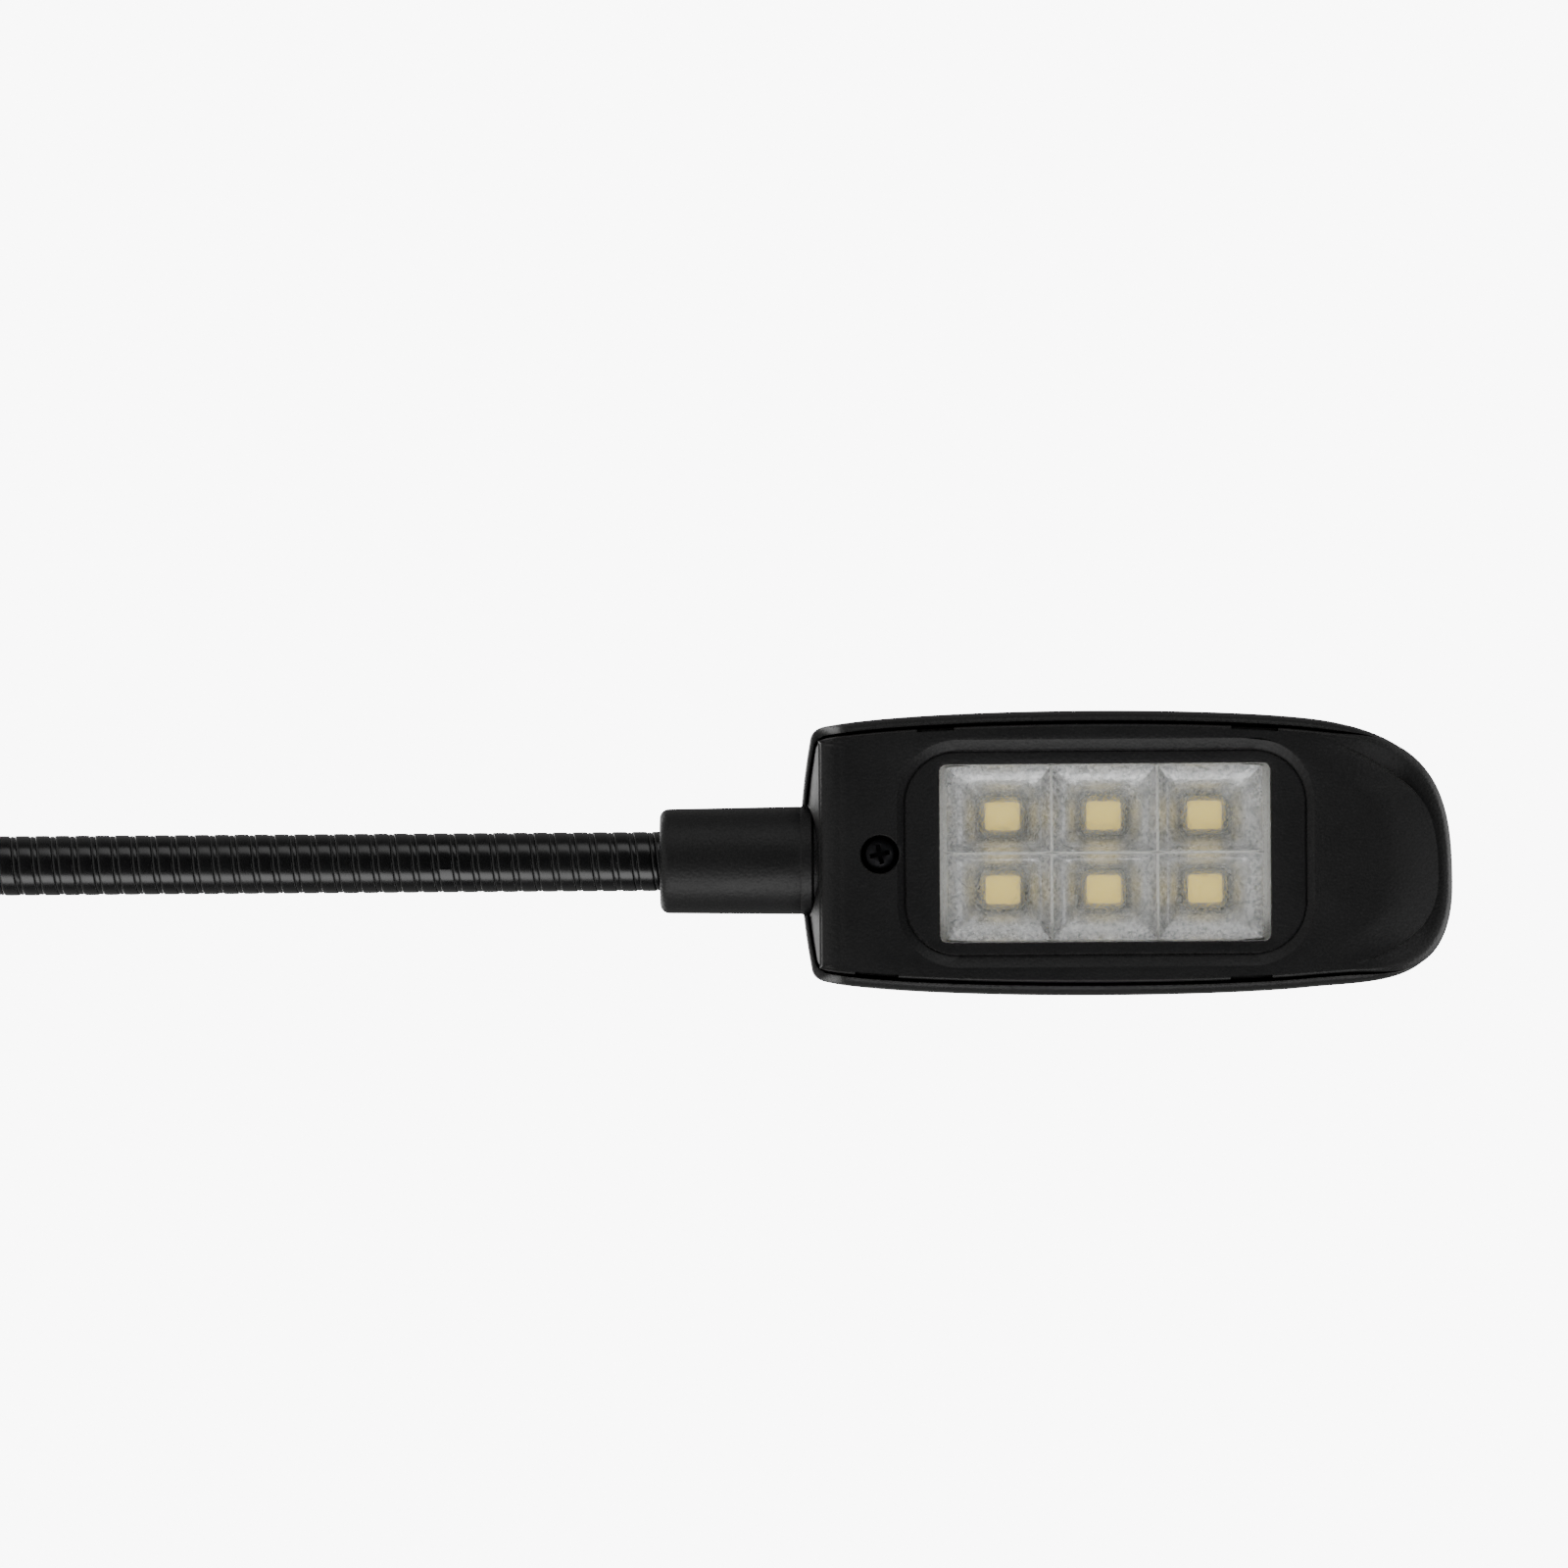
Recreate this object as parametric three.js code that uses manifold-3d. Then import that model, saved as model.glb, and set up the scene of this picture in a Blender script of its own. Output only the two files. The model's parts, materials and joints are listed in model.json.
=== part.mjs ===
// A clip on reading lamp: a sprung clip that is also the battery case, a gooseneck, and a head with six
// LEDs. Millimetres. The neck runs up +Z, the light shines towards -Y, and what the clip grips lies on the
// +Y side.
// The origin is the middle of the fixed jaw pad's flat face.

import * as THREE from "three";
import { mergeVertices } from "three/addons/utils/BufferGeometryUtils.js";
import Module from "manifold-3d";

const wasm = await Module();
wasm.setup();

// Clearances
const SLIP = 0.3; // between pieces that are put together by hand or slide on each other
const RUN = 0.08; // round a pin that turns
const SEAT = 0.05; // between a piece and what it is screwed or pressed against
const SCREW_FIT = 0.15; // round a screw's shank
const HEAD_FIT = 0.25; // round a screw's head and round the neck in its collar
const OVERLAP = 0.5; // how far two joined forms reach into each other
const BEYOND = 1; // how far a cutting form reaches past what it cuts

// Batteries: three AAA cells, side by side
const CELL_COUNT = 3;
const CELL_RADIUS = 5.25;
const CELL_LENGTH = 44.5; // with its nub
const CELL_NUB_RADIUS = 1.9;
const CELL_NUB_LENGTH = 0.8;
const CELL_GAP = 0.7; // between two cells
const CELL_BACK_ROOM = 1.5; // between the cells and the wall behind them
const CELL_FRONT_ROOM = 2.4; // between the cells and the wall in front of them
const CELL_SPRING_LENGTH = 4.8; // pressed
const CELL_SPRING_RADIUS = 3.2;
const CELL_SPRING_WIRE = 0.35; // radius
const CELL_SPRING_TURNS = 3;
const CELL_SPRING_TAPER = 0.45; // share of its radius that it loses
const CONTACT_THICKNESS = 0.6;
const CONTACT_INSET = 1; // from the cell's side to the contact's edge

// Base housing
const HOUSING_SIDE = 6.55; // from the outer cells to the housing's sides
const HOUSING_WALL = 1.8;
const HOUSING_CORNER = 6;
const HOUSING_EDGE = 2;
const HOUSING_BELOW_PAD = 5.5; // from the pad's lower edge to the housing's lower end
const ELECTRONICS_HEIGHT = 16; // the room above the batteries
const PARTING = 0.5; // share of the depth that the back housing takes
const BULKHEAD_FRONT = 3; // from the front room's wall to the bulkhead

// Fixed and moving jaw pads
const PAD_WIDTH = 36;
const PAD_HEIGHT = 17;
const PAD_THICKNESS = 2;
const PAD_RECESS = 1;
const PAD_CORNER = 2;
const JAW_GAP = 5; // between the two pads, at rest

// Clip lever
const PIN_RADIUS = 1.5;
const HINGE_HEIGHT = 24; // above the middle of the pad
const HINGE_STANDOFF = 8; // from the back of the housing to the pin
const EAR_RADIUS = 3.6;
const EAR_THICKNESS = 3;
const EAR_FOOT = 7; // from the pin to the ear's foot, up and down
const KNUCKLE_WIDTH = 6;
const KNUCKLE_FOOT = 5; // from the pin down to the knuckle's foot on the plate
const KNUCKLE_GAP = 12; // between the two knuckles, where the spring sits
const LEVER_WIDTH = 36;
const LEVER_THICKNESS = 2.6;
const LEVER_TOP = 26; // above the pin
const LEVER_LEAN = 7.3; // how far the thumb end stands out beyond the pin's side of the plate
const JAW_NOSE_RADIUS = 1.1;
const JAW_NOSE_DROP = 1.8; // from the pad's lower edge to the nose
const JAW_BEND = 6; // below the pin, where the plate starts to bend towards the jaw
const MOVING_PAD_MARGIN = 4; // that the moving pad is narrower than the fixed one
const PIN_END = 0.5; // that the pin stands out of its ears
const SPRING_RADIUS = 2.5;
const SPRING_WIRE = 0.45; // radius
const SPRING_TURNS = 4;
const SPRING_SIDE = 1.2; // from the spring to a knuckle
const SPRING_LEG = 9; // how far its legs reach above the pin
const SPRING_LEG_OUT = 2.4; // how far the lever leans out at the leg's end

// Battery door
const DOOR_TONGUE = 1.3;
const DOOR_TONGUE_THICKNESS = 0.8;

// Housing screws
const SCREW_RADIUS = 0.95;
const SCREW_HEAD_RADIUS = 1.75;
const SCREW_HEAD_HEIGHT = 1.3;
const SCREW_LENGTH = 10;
const SCREW_BOSS_WALL = 0.7;
const SCREW_INSET = 2.8; // from the housing's side to the screw
const SCREW_FROM_END = 8; // from the housing's end to the screw
const PILLAR_WALL = 0.9;
const PILOT_FLOOR = 1; // from the front wall to the end of a screw's pilot hole

// Switch
const BUTTON_WIDTH = 12;
const BUTTON_HEIGHT = 7;
const BUTTON_PROUD = 0.9;
const BUTTON_TRAVEL = 1;
const BUTTON_FLANGE = 1;
const BUTTON_CORNER = 3;
const BOARD_WIDTH = 30;
const BOARD_HEIGHT = 10;
const BOARD_THICKNESS = 1.2;
const TACT_SIZE = 6;
const TACT_HEIGHT = 3.5;

// Neck
const NECK_RADIUS = 3.5;
const NECK_BORE = 2.1;
const NECK_SEGMENTS = 12;
const NECK_PITCH = 25; // between two hinges of the neck
const NECK_BEND = 22.5; // degrees, the most that one hinge bends
const NECK_GRIP = 11.7; // the length of neck that a collar holds
const COLLAR_LENGTH = 18;
const COLLAR_RADIUS = 6.35; // at the end next to the housing or head
const COLLAR_MOUTH_RADIUS = 6.1; // at the end that the neck leaves
const COLLAR_MOUTH_EDGE = 0.9;
const COLLAR_LIP = 2.2; // length of its straight end
const COLLAR_LIP_EDGE = 0.4;
const FERRULE_RADIUS = 4.2;
const FERRULE_BORE = 1.6;
const FERRULE_FLANGE_RADIUS = 5.2;
const FERRULE_FLANGE = 1.8;
const LEAD_RADIUS = 1;

// Head
const HEAD_LENGTH = 76.1;
const HEAD_HALF_WIDTH = 16.6;
const HEAD_DEPTH = 16;
const HEAD_SHIFT = -0.7; // of the head's middle line from the neck's axis
const HEAD_COLLAR_ENTRY = 1.6; // how far the collar goes in
const HEAD_WALL = 1.3;
const HEAD_EDGE = 4; // rounding of the back
const COVER_WALL = 1.6;
const COVER_EDGE = 0.4;
const RIM_DEPTH = 0.8; // from the face of the cover to the rim of the back shell
const SEAM = 0.4; // between the rim and the cover
const SKIRT = 2.4; // how far the cover reaches inside the rim
const OUTLINE_STEPS = 6; // to each curve of the outline
const ROUND_STEPS = 3; // to each rounded edge
const HEAD_SCREW_PLACE = 9.25; // from the head's neck end
const HEAD_SCREW_HOLE = 2.25;
const HEAD_SCREW_HEAD = 2;
const HEAD_SCREW_DEPTH = 2; // from the face to the floor that the screw's head sits on
const HEAD_SCREW_FLOOR = 1.2; // thickness of that floor
const HEAD_SCREW_REACH = 6;
const HEAD_BORE_LENGTH = 3.2; // of the collar's hole, from outside the neck end
const FERRULE_SEAT = 3.6; // from the head's neck end to the ferrule's flange
const BOARD_POST_RADIUS = 1.2;
const BOARD_POST_X = 8;
const DRAWN_HALF_WIDTH = 16.6; // the outline is drawn at this size and scaled to the head's
const DRAWN_LENGTH = 76.1;
const NOSE_DRAWN_FROM = 40; // what is drawn beyond here keeps its place from the nose's tip

// Light
const WINDOW_LENGTH = 38.5;
const WINDOW_WIDTH = 20.7;
const WINDOW_CORNER = 0.6;
const WINDOW_START = 16.2; // from the head's neck end
const BEZEL_END = 4.15; // from the window to the bezel's edge, along the head
const BEZEL_SIDE = 1.4; // from the window to the bezel's edge, across the head
const BEZEL_CORNER = 5;
const BEZEL_RECESS = 0.5;
const LENS_FLANGE = 1;
const LENS_THICKNESS = 1;
const LENS_PLAY = 0.2; // round the pane in its window
const LENS_FLANGE_REACH = 0.9; // of the flange behind the cover
const LIGHT_BLOCK_REACH = 0.8; // of the reflector and the LED board behind the cover
const CUP_ROWS = 2;
const CUP_COLUMNS = 3;
const CUP_LENGTH = 11.7;
const CUP_WIDTH = 9.6;
const CUP_PITCH_Z = 12.35;
const CUP_PITCH_X = 10.3;
const CUP_DEPTH = 4;
const CUP_LIP = 0.01; // how far a cup's form reaches past the reflector's faces
const LED_LENGTH = 4.2;
const LED_WIDTH = 3.5;
const LED_HEIGHT = 0.8;
const LED_PITCH_Z = 11.8;
const LED_PITCH_X = 8.6;
const LED_HOLE_MARGIN = 0.3;

// Sizes and places that follow from the sizes above
const CELL_PITCH = 2 * CELL_RADIUS + CELL_GAP;
const CELLS_WIDTH = (CELL_COUNT - 1) * CELL_PITCH + 2 * CELL_RADIUS;
const HOUSING_WIDTH = CELLS_WIDTH + 2 * HOUSING_SIDE;
const HOUSING_DEPTH = 2 * HOUSING_WALL + CELL_BACK_ROOM + 2 * CELL_RADIUS + CELL_FRONT_ROOM;
const DOOR_WIDTH = CELLS_WIDTH + SLIP;
const WINDOW_PLACE = WINDOW_START + WINDOW_LENGTH / 2;
const BEZEL_LENGTH = WINDOW_LENGTH + 2 * BEZEL_END;
const BEZEL_WIDTH = WINDOW_WIDTH + 2 * BEZEL_SIDE;
const BACK_Y = PAD_RECESS - PAD_THICKNESS;
const FRONT_Y = BACK_Y - HOUSING_DEPTH;
const PARTING_Y = BACK_Y - HOUSING_DEPTH * PARTING;
const BOTTOM_Z = -PAD_HEIGHT / 2 - HOUSING_BELOW_PAD;
const ROOM_BOTTOM_Z = BOTTOM_Z + HOUSING_WALL;
const ROOM_LENGTH = CELL_SPRING_LENGTH + CELL_LENGTH + SLIP + CONTACT_THICKNESS + SEAT;
const BULKHEAD_Z = ROOM_BOTTOM_Z + ROOM_LENGTH;
const TOP_Z = BULKHEAD_Z + HOUSING_WALL + ELECTRONICS_HEIGHT + HOUSING_WALL;
const ROOM_FRONT_Y = FRONT_Y + HOUSING_WALL;
const ROOM_BACK_Y = BACK_Y - HOUSING_WALL;
const CELL_Y = ROOM_BACK_Y - CELL_BACK_ROOM - CELL_RADIUS;
const NECK_Y = (FRONT_Y + BACK_Y) / 2;
const HINGE_Y = BACK_Y + HINGE_STANDOFF;
const EAR_INNER_X = KNUCKLE_GAP / 2 + KNUCKLE_WIDTH + SLIP;
const EAR_OUTER_X = EAR_INNER_X + EAR_THICKNESS;
const BASE_COLLAR_Z = TOP_Z + SEAT;
const BASE_COLLAR_TOP = BASE_COLLAR_Z + COLLAR_LENGTH;
const NECK_FREE = NECK_PITCH * (NECK_SEGMENTS - 1);
const HEAD_COLLAR_Z = BASE_COLLAR_TOP + NECK_FREE;
const HEAD_Z = HEAD_COLLAR_Z + COLLAR_LENGTH - HEAD_COLLAR_ENTRY;
const FACE_Y = NECK_Y - HEAD_DEPTH / 2;
const HEAD_BACK_Y = NECK_Y + HEAD_DEPTH / 2;
const RIM_Y = FACE_Y + RIM_DEPTH;
const COVER_INSET = HEAD_WALL + SEAM;
const COVER_INNER_Y = FACE_Y + COVER_WALL;
const WINDOW_Z = HEAD_Z + WINDOW_PLACE;
const LENS_BACK_Y = COVER_INNER_Y + SEAT + LENS_FLANGE;
const CUP_FRONT_Y = LENS_BACK_Y + SEAT;
const CUP_BACK_Y = CUP_FRONT_Y + CUP_DEPTH;
const LED_BOARD_Y = CUP_BACK_Y + SEAT;
const HEAD_SCREW_Z = HEAD_Z + HEAD_SCREW_PLACE;
const HEAD_SCREW_FLOOR_Y = FACE_Y + HEAD_SCREW_DEPTH;

// Materials, one function for each finish
function finish(color, roughness, metalness) {
  return new THREE.MeshStandardMaterial({ color, roughness, metalness });
}
const blackPlastic = () => finish(0x1c1c1d, 0.6, 0);
const blackRubber = () => finish(0x141414, 0.9, 0);
const blackNeck = () => finish(0x17181a, 0.3, 0.2);
const blackScrew = () => finish(0x101010, 0.4, 0.8);
const plainSteel = () => finish(0xb5b7ba, 0.35, 1);
const nickelBrass = () => finish(0xc6b98f, 0.35, 1);
const clearLens = () => Object.assign(finish(0xd8dcdc, 0.4, 0), { transparent: true, opacity: 0.4 });
const mirrorCoat = () => finish(0xc9cbcc, 0.15, 1);
const boardLaminate = () => finish(0xe4e6e2, 0.5, 0);
const phosphor = () => finish(0xd8c884, 0.5, 0);
const batteryCan = () => finish(0x3f6a4d, 0.4, 0.3);
const leadSleeve = () => finish(0x1a1a1a, 0.7, 0);

// Shapes, each a closed geometry
const ALONG_X = new THREE.Matrix4().makeBasis(
  new THREE.Vector3(0, 1, 0),
  new THREE.Vector3(0, 0, 1),
  new THREE.Vector3(1, 0, 0),
);
const ALONG_Y = new THREE.Matrix4().makeBasis(
  new THREE.Vector3(1, 0, 0),
  new THREE.Vector3(0, 0, 1),
  new THREE.Vector3(0, -1, 0),
);

function box(x0, x1, y0, y1, z0, z1) {
  const block = new THREE.BoxGeometry(x1 - x0, y1 - y0, z1 - z0);
  return block.translate((x0 + x1) / 2, (y0 + y1) / 2, (z0 + z1) / 2);
}

// A box whose front and back differ in size and place, for a cup. Each end is [middle x, middle z, width,
// length].
function taperedBox(front, back, y0, y1) {
  const block = new THREE.BoxGeometry(1, 1, 1);
  const places = block.getAttribute("position");
  for (let i = 0; i < places.count; i += 1) {
    const [x, z, width, length] = places.getY(i) < 0 ? front : back;
    const y = places.getY(i) < 0 ? y0 : y1;
    places.setXYZ(i, x + places.getX(i) * width, y, z + places.getZ(i) * length);
  }
  return block;
}

function barX(radius, x0, x1, y, z, sides = 20) {
  const bar = new THREE.CylinderGeometry(radius, radius, x1 - x0, sides);
  return bar.rotateZ(Math.PI / 2).translate((x0 + x1) / 2, y, z);
}

function barY(radius, y0, y1, x, z, sides = 16) {
  return new THREE.CylinderGeometry(radius, radius, y1 - y0, sides).translate(x, (y0 + y1) / 2, z);
}

// A turned piece about an upright axis, from a closed profile of [radius, height] points.
function turned(profile, x, y, sides = 24) {
  const points = [...profile, profile[0]].map(([r, h]) => new THREE.Vector2(r, h));
  return new THREE.LatheGeometry(points, sides).rotateX(Math.PI / 2).translate(x, y, 0);
}

function plateY(shape, y0, y1, bevel = 0, segments = 4) {
  const plate = new THREE.ExtrudeGeometry(shape, {
    depth: y1 - y0 - 2 * bevel,
    bevelEnabled: bevel > 0,
    bevelThickness: bevel,
    bevelSize: bevel,
    bevelOffset: -bevel,
    bevelSegments: 3,
    curveSegments: segments,
  });
  return plate.applyMatrix4(ALONG_Y).translate(0, y1 - bevel, 0);
}

function plateX(shape, x0, x1, segments = 5) {
  const settings = { depth: x1 - x0, bevelEnabled: false, curveSegments: segments };
  const plate = new THREE.ExtrudeGeometry(shape, settings);
  return plate.applyMatrix4(ALONG_X).translate(x0, 0, 0);
}

function roundedRectangle(width, height, corner, x = 0, z = 0) {
  const [right, top] = [width / 2 - corner, height / 2 - corner];
  const shape = new THREE.Shape();
  shape.absarc(x + right, z + top, corner, 0, Math.PI / 2);
  shape.absarc(x - right, z + top, corner, Math.PI / 2, Math.PI);
  shape.absarc(x - right, z - top, corner, Math.PI, 1.5 * Math.PI);
  shape.absarc(x + right, z - top, corner, 1.5 * Math.PI, 2 * Math.PI);
  return shape;
}

function wire(path, radius, steps, sides = 5) {
  const section = new THREE.Shape();
  for (let i = 0; i < sides; i += 1) {
    const turn = (i / sides) * 2 * Math.PI;
    const [x, y] = [radius * Math.cos(turn), radius * Math.sin(turn)];
    if (i === 0) section.moveTo(x, y);
    else section.lineTo(x, y);
  }
  return new THREE.ExtrudeGeometry(section, { extrudePath: path, steps, bevelEnabled: false });
}

// Cutting and joining
function solid(geometry) {
  const bare = geometry.clone();
  bare.deleteAttribute("normal");
  bare.deleteAttribute("uv");
  const merged = mergeVertices(bare, 1e-4);
  const triVerts = new Uint32Array(merged.index.array);
  return new wasm.Manifold(
    new wasm.Mesh({ numProp: 3, vertProperties: merged.getAttribute("position").array, triVerts }),
  );
}

function geometryOf(made) {
  const mesh = made.getMesh();
  const indexed = new THREE.BufferGeometry();
  indexed.setAttribute("position", new THREE.BufferAttribute(mesh.vertProperties, 3));
  indexed.setIndex(new THREE.BufferAttribute(mesh.triVerts, 1));
  const faceted = indexed.toNonIndexed();
  faceted.computeVertexNormals();
  return faceted;
}

function cut(whole, ...tools) {
  return geometryOf(tools.reduce((made, tool) => made.subtract(solid(tool)), solid(whole)));
}

function join(...pieces) {
  return geometryOf(pieces.map(solid).reduce((made, piece) => made.add(piece)));
}

const common = (one, other) => geometryOf(solid(one).intersect(solid(other)));

const lamp = new THREE.Group();

function add(name, geometry, material) {
  const mesh = new THREE.Mesh(geometry, material);
  mesh.name = name;
  lamp.add(mesh);
}

// ---------- Base ----------

const HOUSING_MIDDLE_Z = (BOTTOM_Z + TOP_Z) / 2;
const HOUSING_HEIGHT = TOP_Z - BOTTOM_Z;
const SCREW_X = HOUSING_WIDTH / 2 - SCREW_INSET;
const SCREW_PLACES = [
  [-SCREW_X, BOTTOM_Z + SCREW_FROM_END],
  [SCREW_X, BOTTOM_Z + SCREW_FROM_END],
  [-SCREW_X, TOP_Z - SCREW_FROM_END],
  [SCREW_X, TOP_Z - SCREW_FROM_END],
];
const SCREW_SEAT_Y = BACK_Y - SCREW_HEAD_HEIGHT - SLIP;
const BOSS_RADIUS = SCREW_HEAD_RADIUS + HEAD_FIT + SCREW_BOSS_WALL;
const PILLAR_RADIUS = SCREW_RADIUS + RUN + PILLAR_WALL;
const DOOR_TOP_Z = BULKHEAD_Z - SLIP;
const BUTTON_Z = BULKHEAD_Z + HOUSING_WALL + ELECTRONICS_HEIGHT / 2 - 1;

const atScrews = (form) => SCREW_PLACES.map(([x, z]) => form(x, z));

function housingForm() {
  const outline = roundedRectangle(HOUSING_WIDTH, HOUSING_HEIGHT, HOUSING_CORNER, 0, HOUSING_MIDDLE_Z);
  return plateY(outline, FRONT_Y, BACK_Y, HOUSING_EDGE, 7);
}

function housingRoom() {
  const corner = HOUSING_CORNER - HOUSING_WALL;
  const width = HOUSING_WIDTH - 2 * HOUSING_WALL;
  const height = HOUSING_HEIGHT - 2 * HOUSING_WALL;
  return plateY(roundedRectangle(width, height, corner, 0, HOUSING_MIDDLE_Z), ROOM_FRONT_Y, ROOM_BACK_Y);
}

function aroundHousing(y0, y1) {
  return box(-HOUSING_WIDTH, HOUSING_WIDTH, y0, y1, BOTTOM_Z - BEYOND, TOP_Z + BEYOND);
}

// The hole for the ferrule through the housing's upper wall.
function ferruleHole() {
  const radius = FERRULE_RADIUS + SLIP;
  const bore = new THREE.CylinderGeometry(radius, radius, 2 * (HOUSING_WALL + BEYOND), 24);
  return bore.rotateX(Math.PI / 2).translate(0, NECK_Y, TOP_Z);
}

function doorOpening() {
  const half = DOOR_WIDTH / 2 + SLIP;
  const front = FRONT_Y - BEYOND;
  return box(-half, half, front, ROOM_FRONT_Y + BEYOND, BOTTOM_Z - BEYOND, DOOR_TOP_Z + SLIP);
}

function doorTrack() {
  const half = DOOR_WIDTH / 2 + DOOR_TONGUE + SLIP;
  const back = ROOM_FRONT_Y + DOOR_TONGUE_THICKNESS + 2 * SLIP;
  return box(-half, half, ROOM_FRONT_Y, back, BOTTOM_Z - BEYOND, ROOM_BOTTOM_Z + BEYOND);
}

function buttonHole() {
  const [width, height] = [BUTTON_WIDTH + 2 * SLIP, BUTTON_HEIGHT + 2 * SLIP];
  const outline = roundedRectangle(width, height, BUTTON_CORNER + SLIP, 0, BUTTON_Z);
  return plateY(outline, FRONT_Y - BEYOND, ROOM_FRONT_Y + BEYOND);
}

function frontHousing() {
  const shell = cut(housingForm(), housingRoom());
  const pillars = atScrews((x, z) => barY(PILLAR_RADIUS, FRONT_Y + HOUSING_WALL / 2, PARTING_Y, x, z, 12));
  const filled = common(join(shell, ...pillars), housingForm());
  const pilots = atScrews((x, z) =>
    barY(SCREW_RADIUS + RUN, ROOM_FRONT_Y + PILOT_FLOOR, PARTING_Y + BEYOND, x, z, 12),
  );
  const half = common(filled, aroundHousing(FRONT_Y - BEYOND, PARTING_Y - SEAT));
  return cut(half, ...pilots, doorOpening(), doorTrack(), buttonHole(), ferruleHole());
}

function hingeEar(side) {
  const ear = new THREE.Shape();
  ear.moveTo(BACK_Y - OVERLAP, HINGE_HEIGHT - EAR_FOOT);
  ear.lineTo(HINGE_Y, HINGE_HEIGHT - EAR_RADIUS);
  ear.absarc(HINGE_Y, HINGE_HEIGHT, EAR_RADIUS, -Math.PI / 2, Math.PI / 2);
  ear.lineTo(BACK_Y - OVERLAP, HINGE_HEIGHT + EAR_FOOT);
  const [x0, x1] = side < 0 ? [-EAR_OUTER_X, -EAR_INNER_X] : [EAR_INNER_X, EAR_OUTER_X];
  return plateX(ear, x0, x1);
}

function padRecess() {
  const outline = roundedRectangle(PAD_WIDTH + 2 * SEAT, PAD_HEIGHT + 2 * SEAT, PAD_CORNER);
  return plateY(outline, BACK_Y - PAD_RECESS, BACK_Y + BEYOND);
}

function backHousing() {
  const shell = cut(housingForm(), housingRoom());
  const bosses = atScrews((x, z) => barY(BOSS_RADIUS, PARTING_Y, BACK_Y - OVERLAP, x, z, 14));
  const bulkhead = box(
    -HOUSING_WIDTH / 2,
    HOUSING_WIDTH / 2,
    ROOM_FRONT_Y + BULKHEAD_FRONT,
    BACK_Y,
    BULKHEAD_Z,
    BULKHEAD_Z + HOUSING_WALL,
  );
  const filled = common(join(shell, ...bosses), housingForm());
  const half = common(filled, aroundHousing(PARTING_Y, BACK_Y + BEYOND));
  const inner = common(bulkhead, housingRoom());
  const whole = join(half, inner, hingeEar(-1), hingeEar(1));
  const behind = BACK_Y + BEYOND;
  const holes = atScrews((x, z) => barY(SCREW_RADIUS + SCREW_FIT, PARTING_Y - BEYOND, behind, x, z, 12));
  const sinks = atScrews((x, z) => barY(SCREW_HEAD_RADIUS + HEAD_FIT, SCREW_SEAT_Y, behind, x, z));
  const side = EAR_OUTER_X + BEYOND;
  const pinHole = barX(PIN_RADIUS + SEAT, -side, side, HINGE_Y, HINGE_HEIGHT);
  return cut(whole, ...holes, ...sinks, pinHole, padRecess(), ferruleHole());
}

function housingScrew(x, z) {
  const shank = barY(SCREW_RADIUS, SCREW_SEAT_Y - SCREW_LENGTH, SCREW_SEAT_Y + OVERLAP, x, z, 10);
  const head = barY(SCREW_HEAD_RADIUS, SCREW_SEAT_Y, SCREW_SEAT_Y + SCREW_HEAD_HEIGHT, x, z, 14);
  return join(shank, head);
}

function fixedPad() {
  return plateY(roundedRectangle(PAD_WIDTH, PAD_HEIGHT, PAD_CORNER), BACK_Y - PAD_RECESS + SEAT, 0);
}

// Cells stand side by side and every other one is upside down. up is 1 with the nub at the top and -1 at
// the bottom.
function cellEnds(up) {
  const low = ROOM_BOTTOM_Z + CELL_SPRING_LENGTH;
  const bottom = up > 0 ? low : BULKHEAD_Z - CELL_SPRING_LENGTH - CELL_LENGTH;
  return [bottom, bottom + CELL_LENGTH];
}

function cell(x, up) {
  const [bottom, top] = cellEnds(up);
  const can = [
    [0, bottom],
    [CELL_RADIUS, bottom],
    [CELL_RADIUS, top - CELL_NUB_LENGTH],
    [CELL_NUB_RADIUS, top - CELL_NUB_LENGTH],
    [CELL_NUB_RADIUS, top],
    [0, top],
  ];
  const flipped = can.map(([r, h]) => [r, bottom + top - h]).reverse();
  return turned(up > 0 ? can : flipped, x, CELL_Y, 16);
}

function cellSpring(x, up) {
  const edge = CELL_SPRING_WIRE + SEAT;
  class Cone extends THREE.Curve {
    getPoint(t, target = new THREE.Vector3()) {
      const turn = t * CELL_SPRING_TURNS * 2 * Math.PI;
      const radius = CELL_SPRING_RADIUS * (1 - CELL_SPRING_TAPER * t);
      const rise = edge + t * (CELL_SPRING_LENGTH - 2 * edge);
      const z = up > 0 ? ROOM_BOTTOM_Z + rise : BULKHEAD_Z - rise;
      return target.set(x + radius * Math.cos(turn), CELL_Y + radius * Math.sin(turn), z);
    }
  }
  return wire(new Cone(), CELL_SPRING_WIRE, 10 * CELL_SPRING_TURNS);
}

function contactPlate(x, up) {
  const half = CELL_RADIUS - CONTACT_INSET;
  const z0 = up > 0 ? BULKHEAD_Z - SEAT - CONTACT_THICKNESS : ROOM_BOTTOM_Z + SEAT;
  return box(x - half, x + half, CELL_Y - half, CELL_Y + half, z0, z0 + CONTACT_THICKNESS);
}

// ---------- Battery door ----------

function batteryDoor() {
  const half = DOOR_WIDTH / 2;
  const front = ROOM_FRONT_Y + SLIP;
  const back = front + DOOR_TONGUE_THICKNESS;
  const skin = common(housingForm(), box(-half, half, FRONT_Y, back, BOTTOM_Z, DOOR_TOP_Z));
  const wide = half + DOOR_TONGUE;
  const tongue = box(-wide, wide, front, back, ROOM_BOTTOM_Z + SLIP, DOOR_TOP_Z - DOOR_TONGUE);
  return join(skin, tongue);
}

// ---------- Switch ----------

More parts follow.
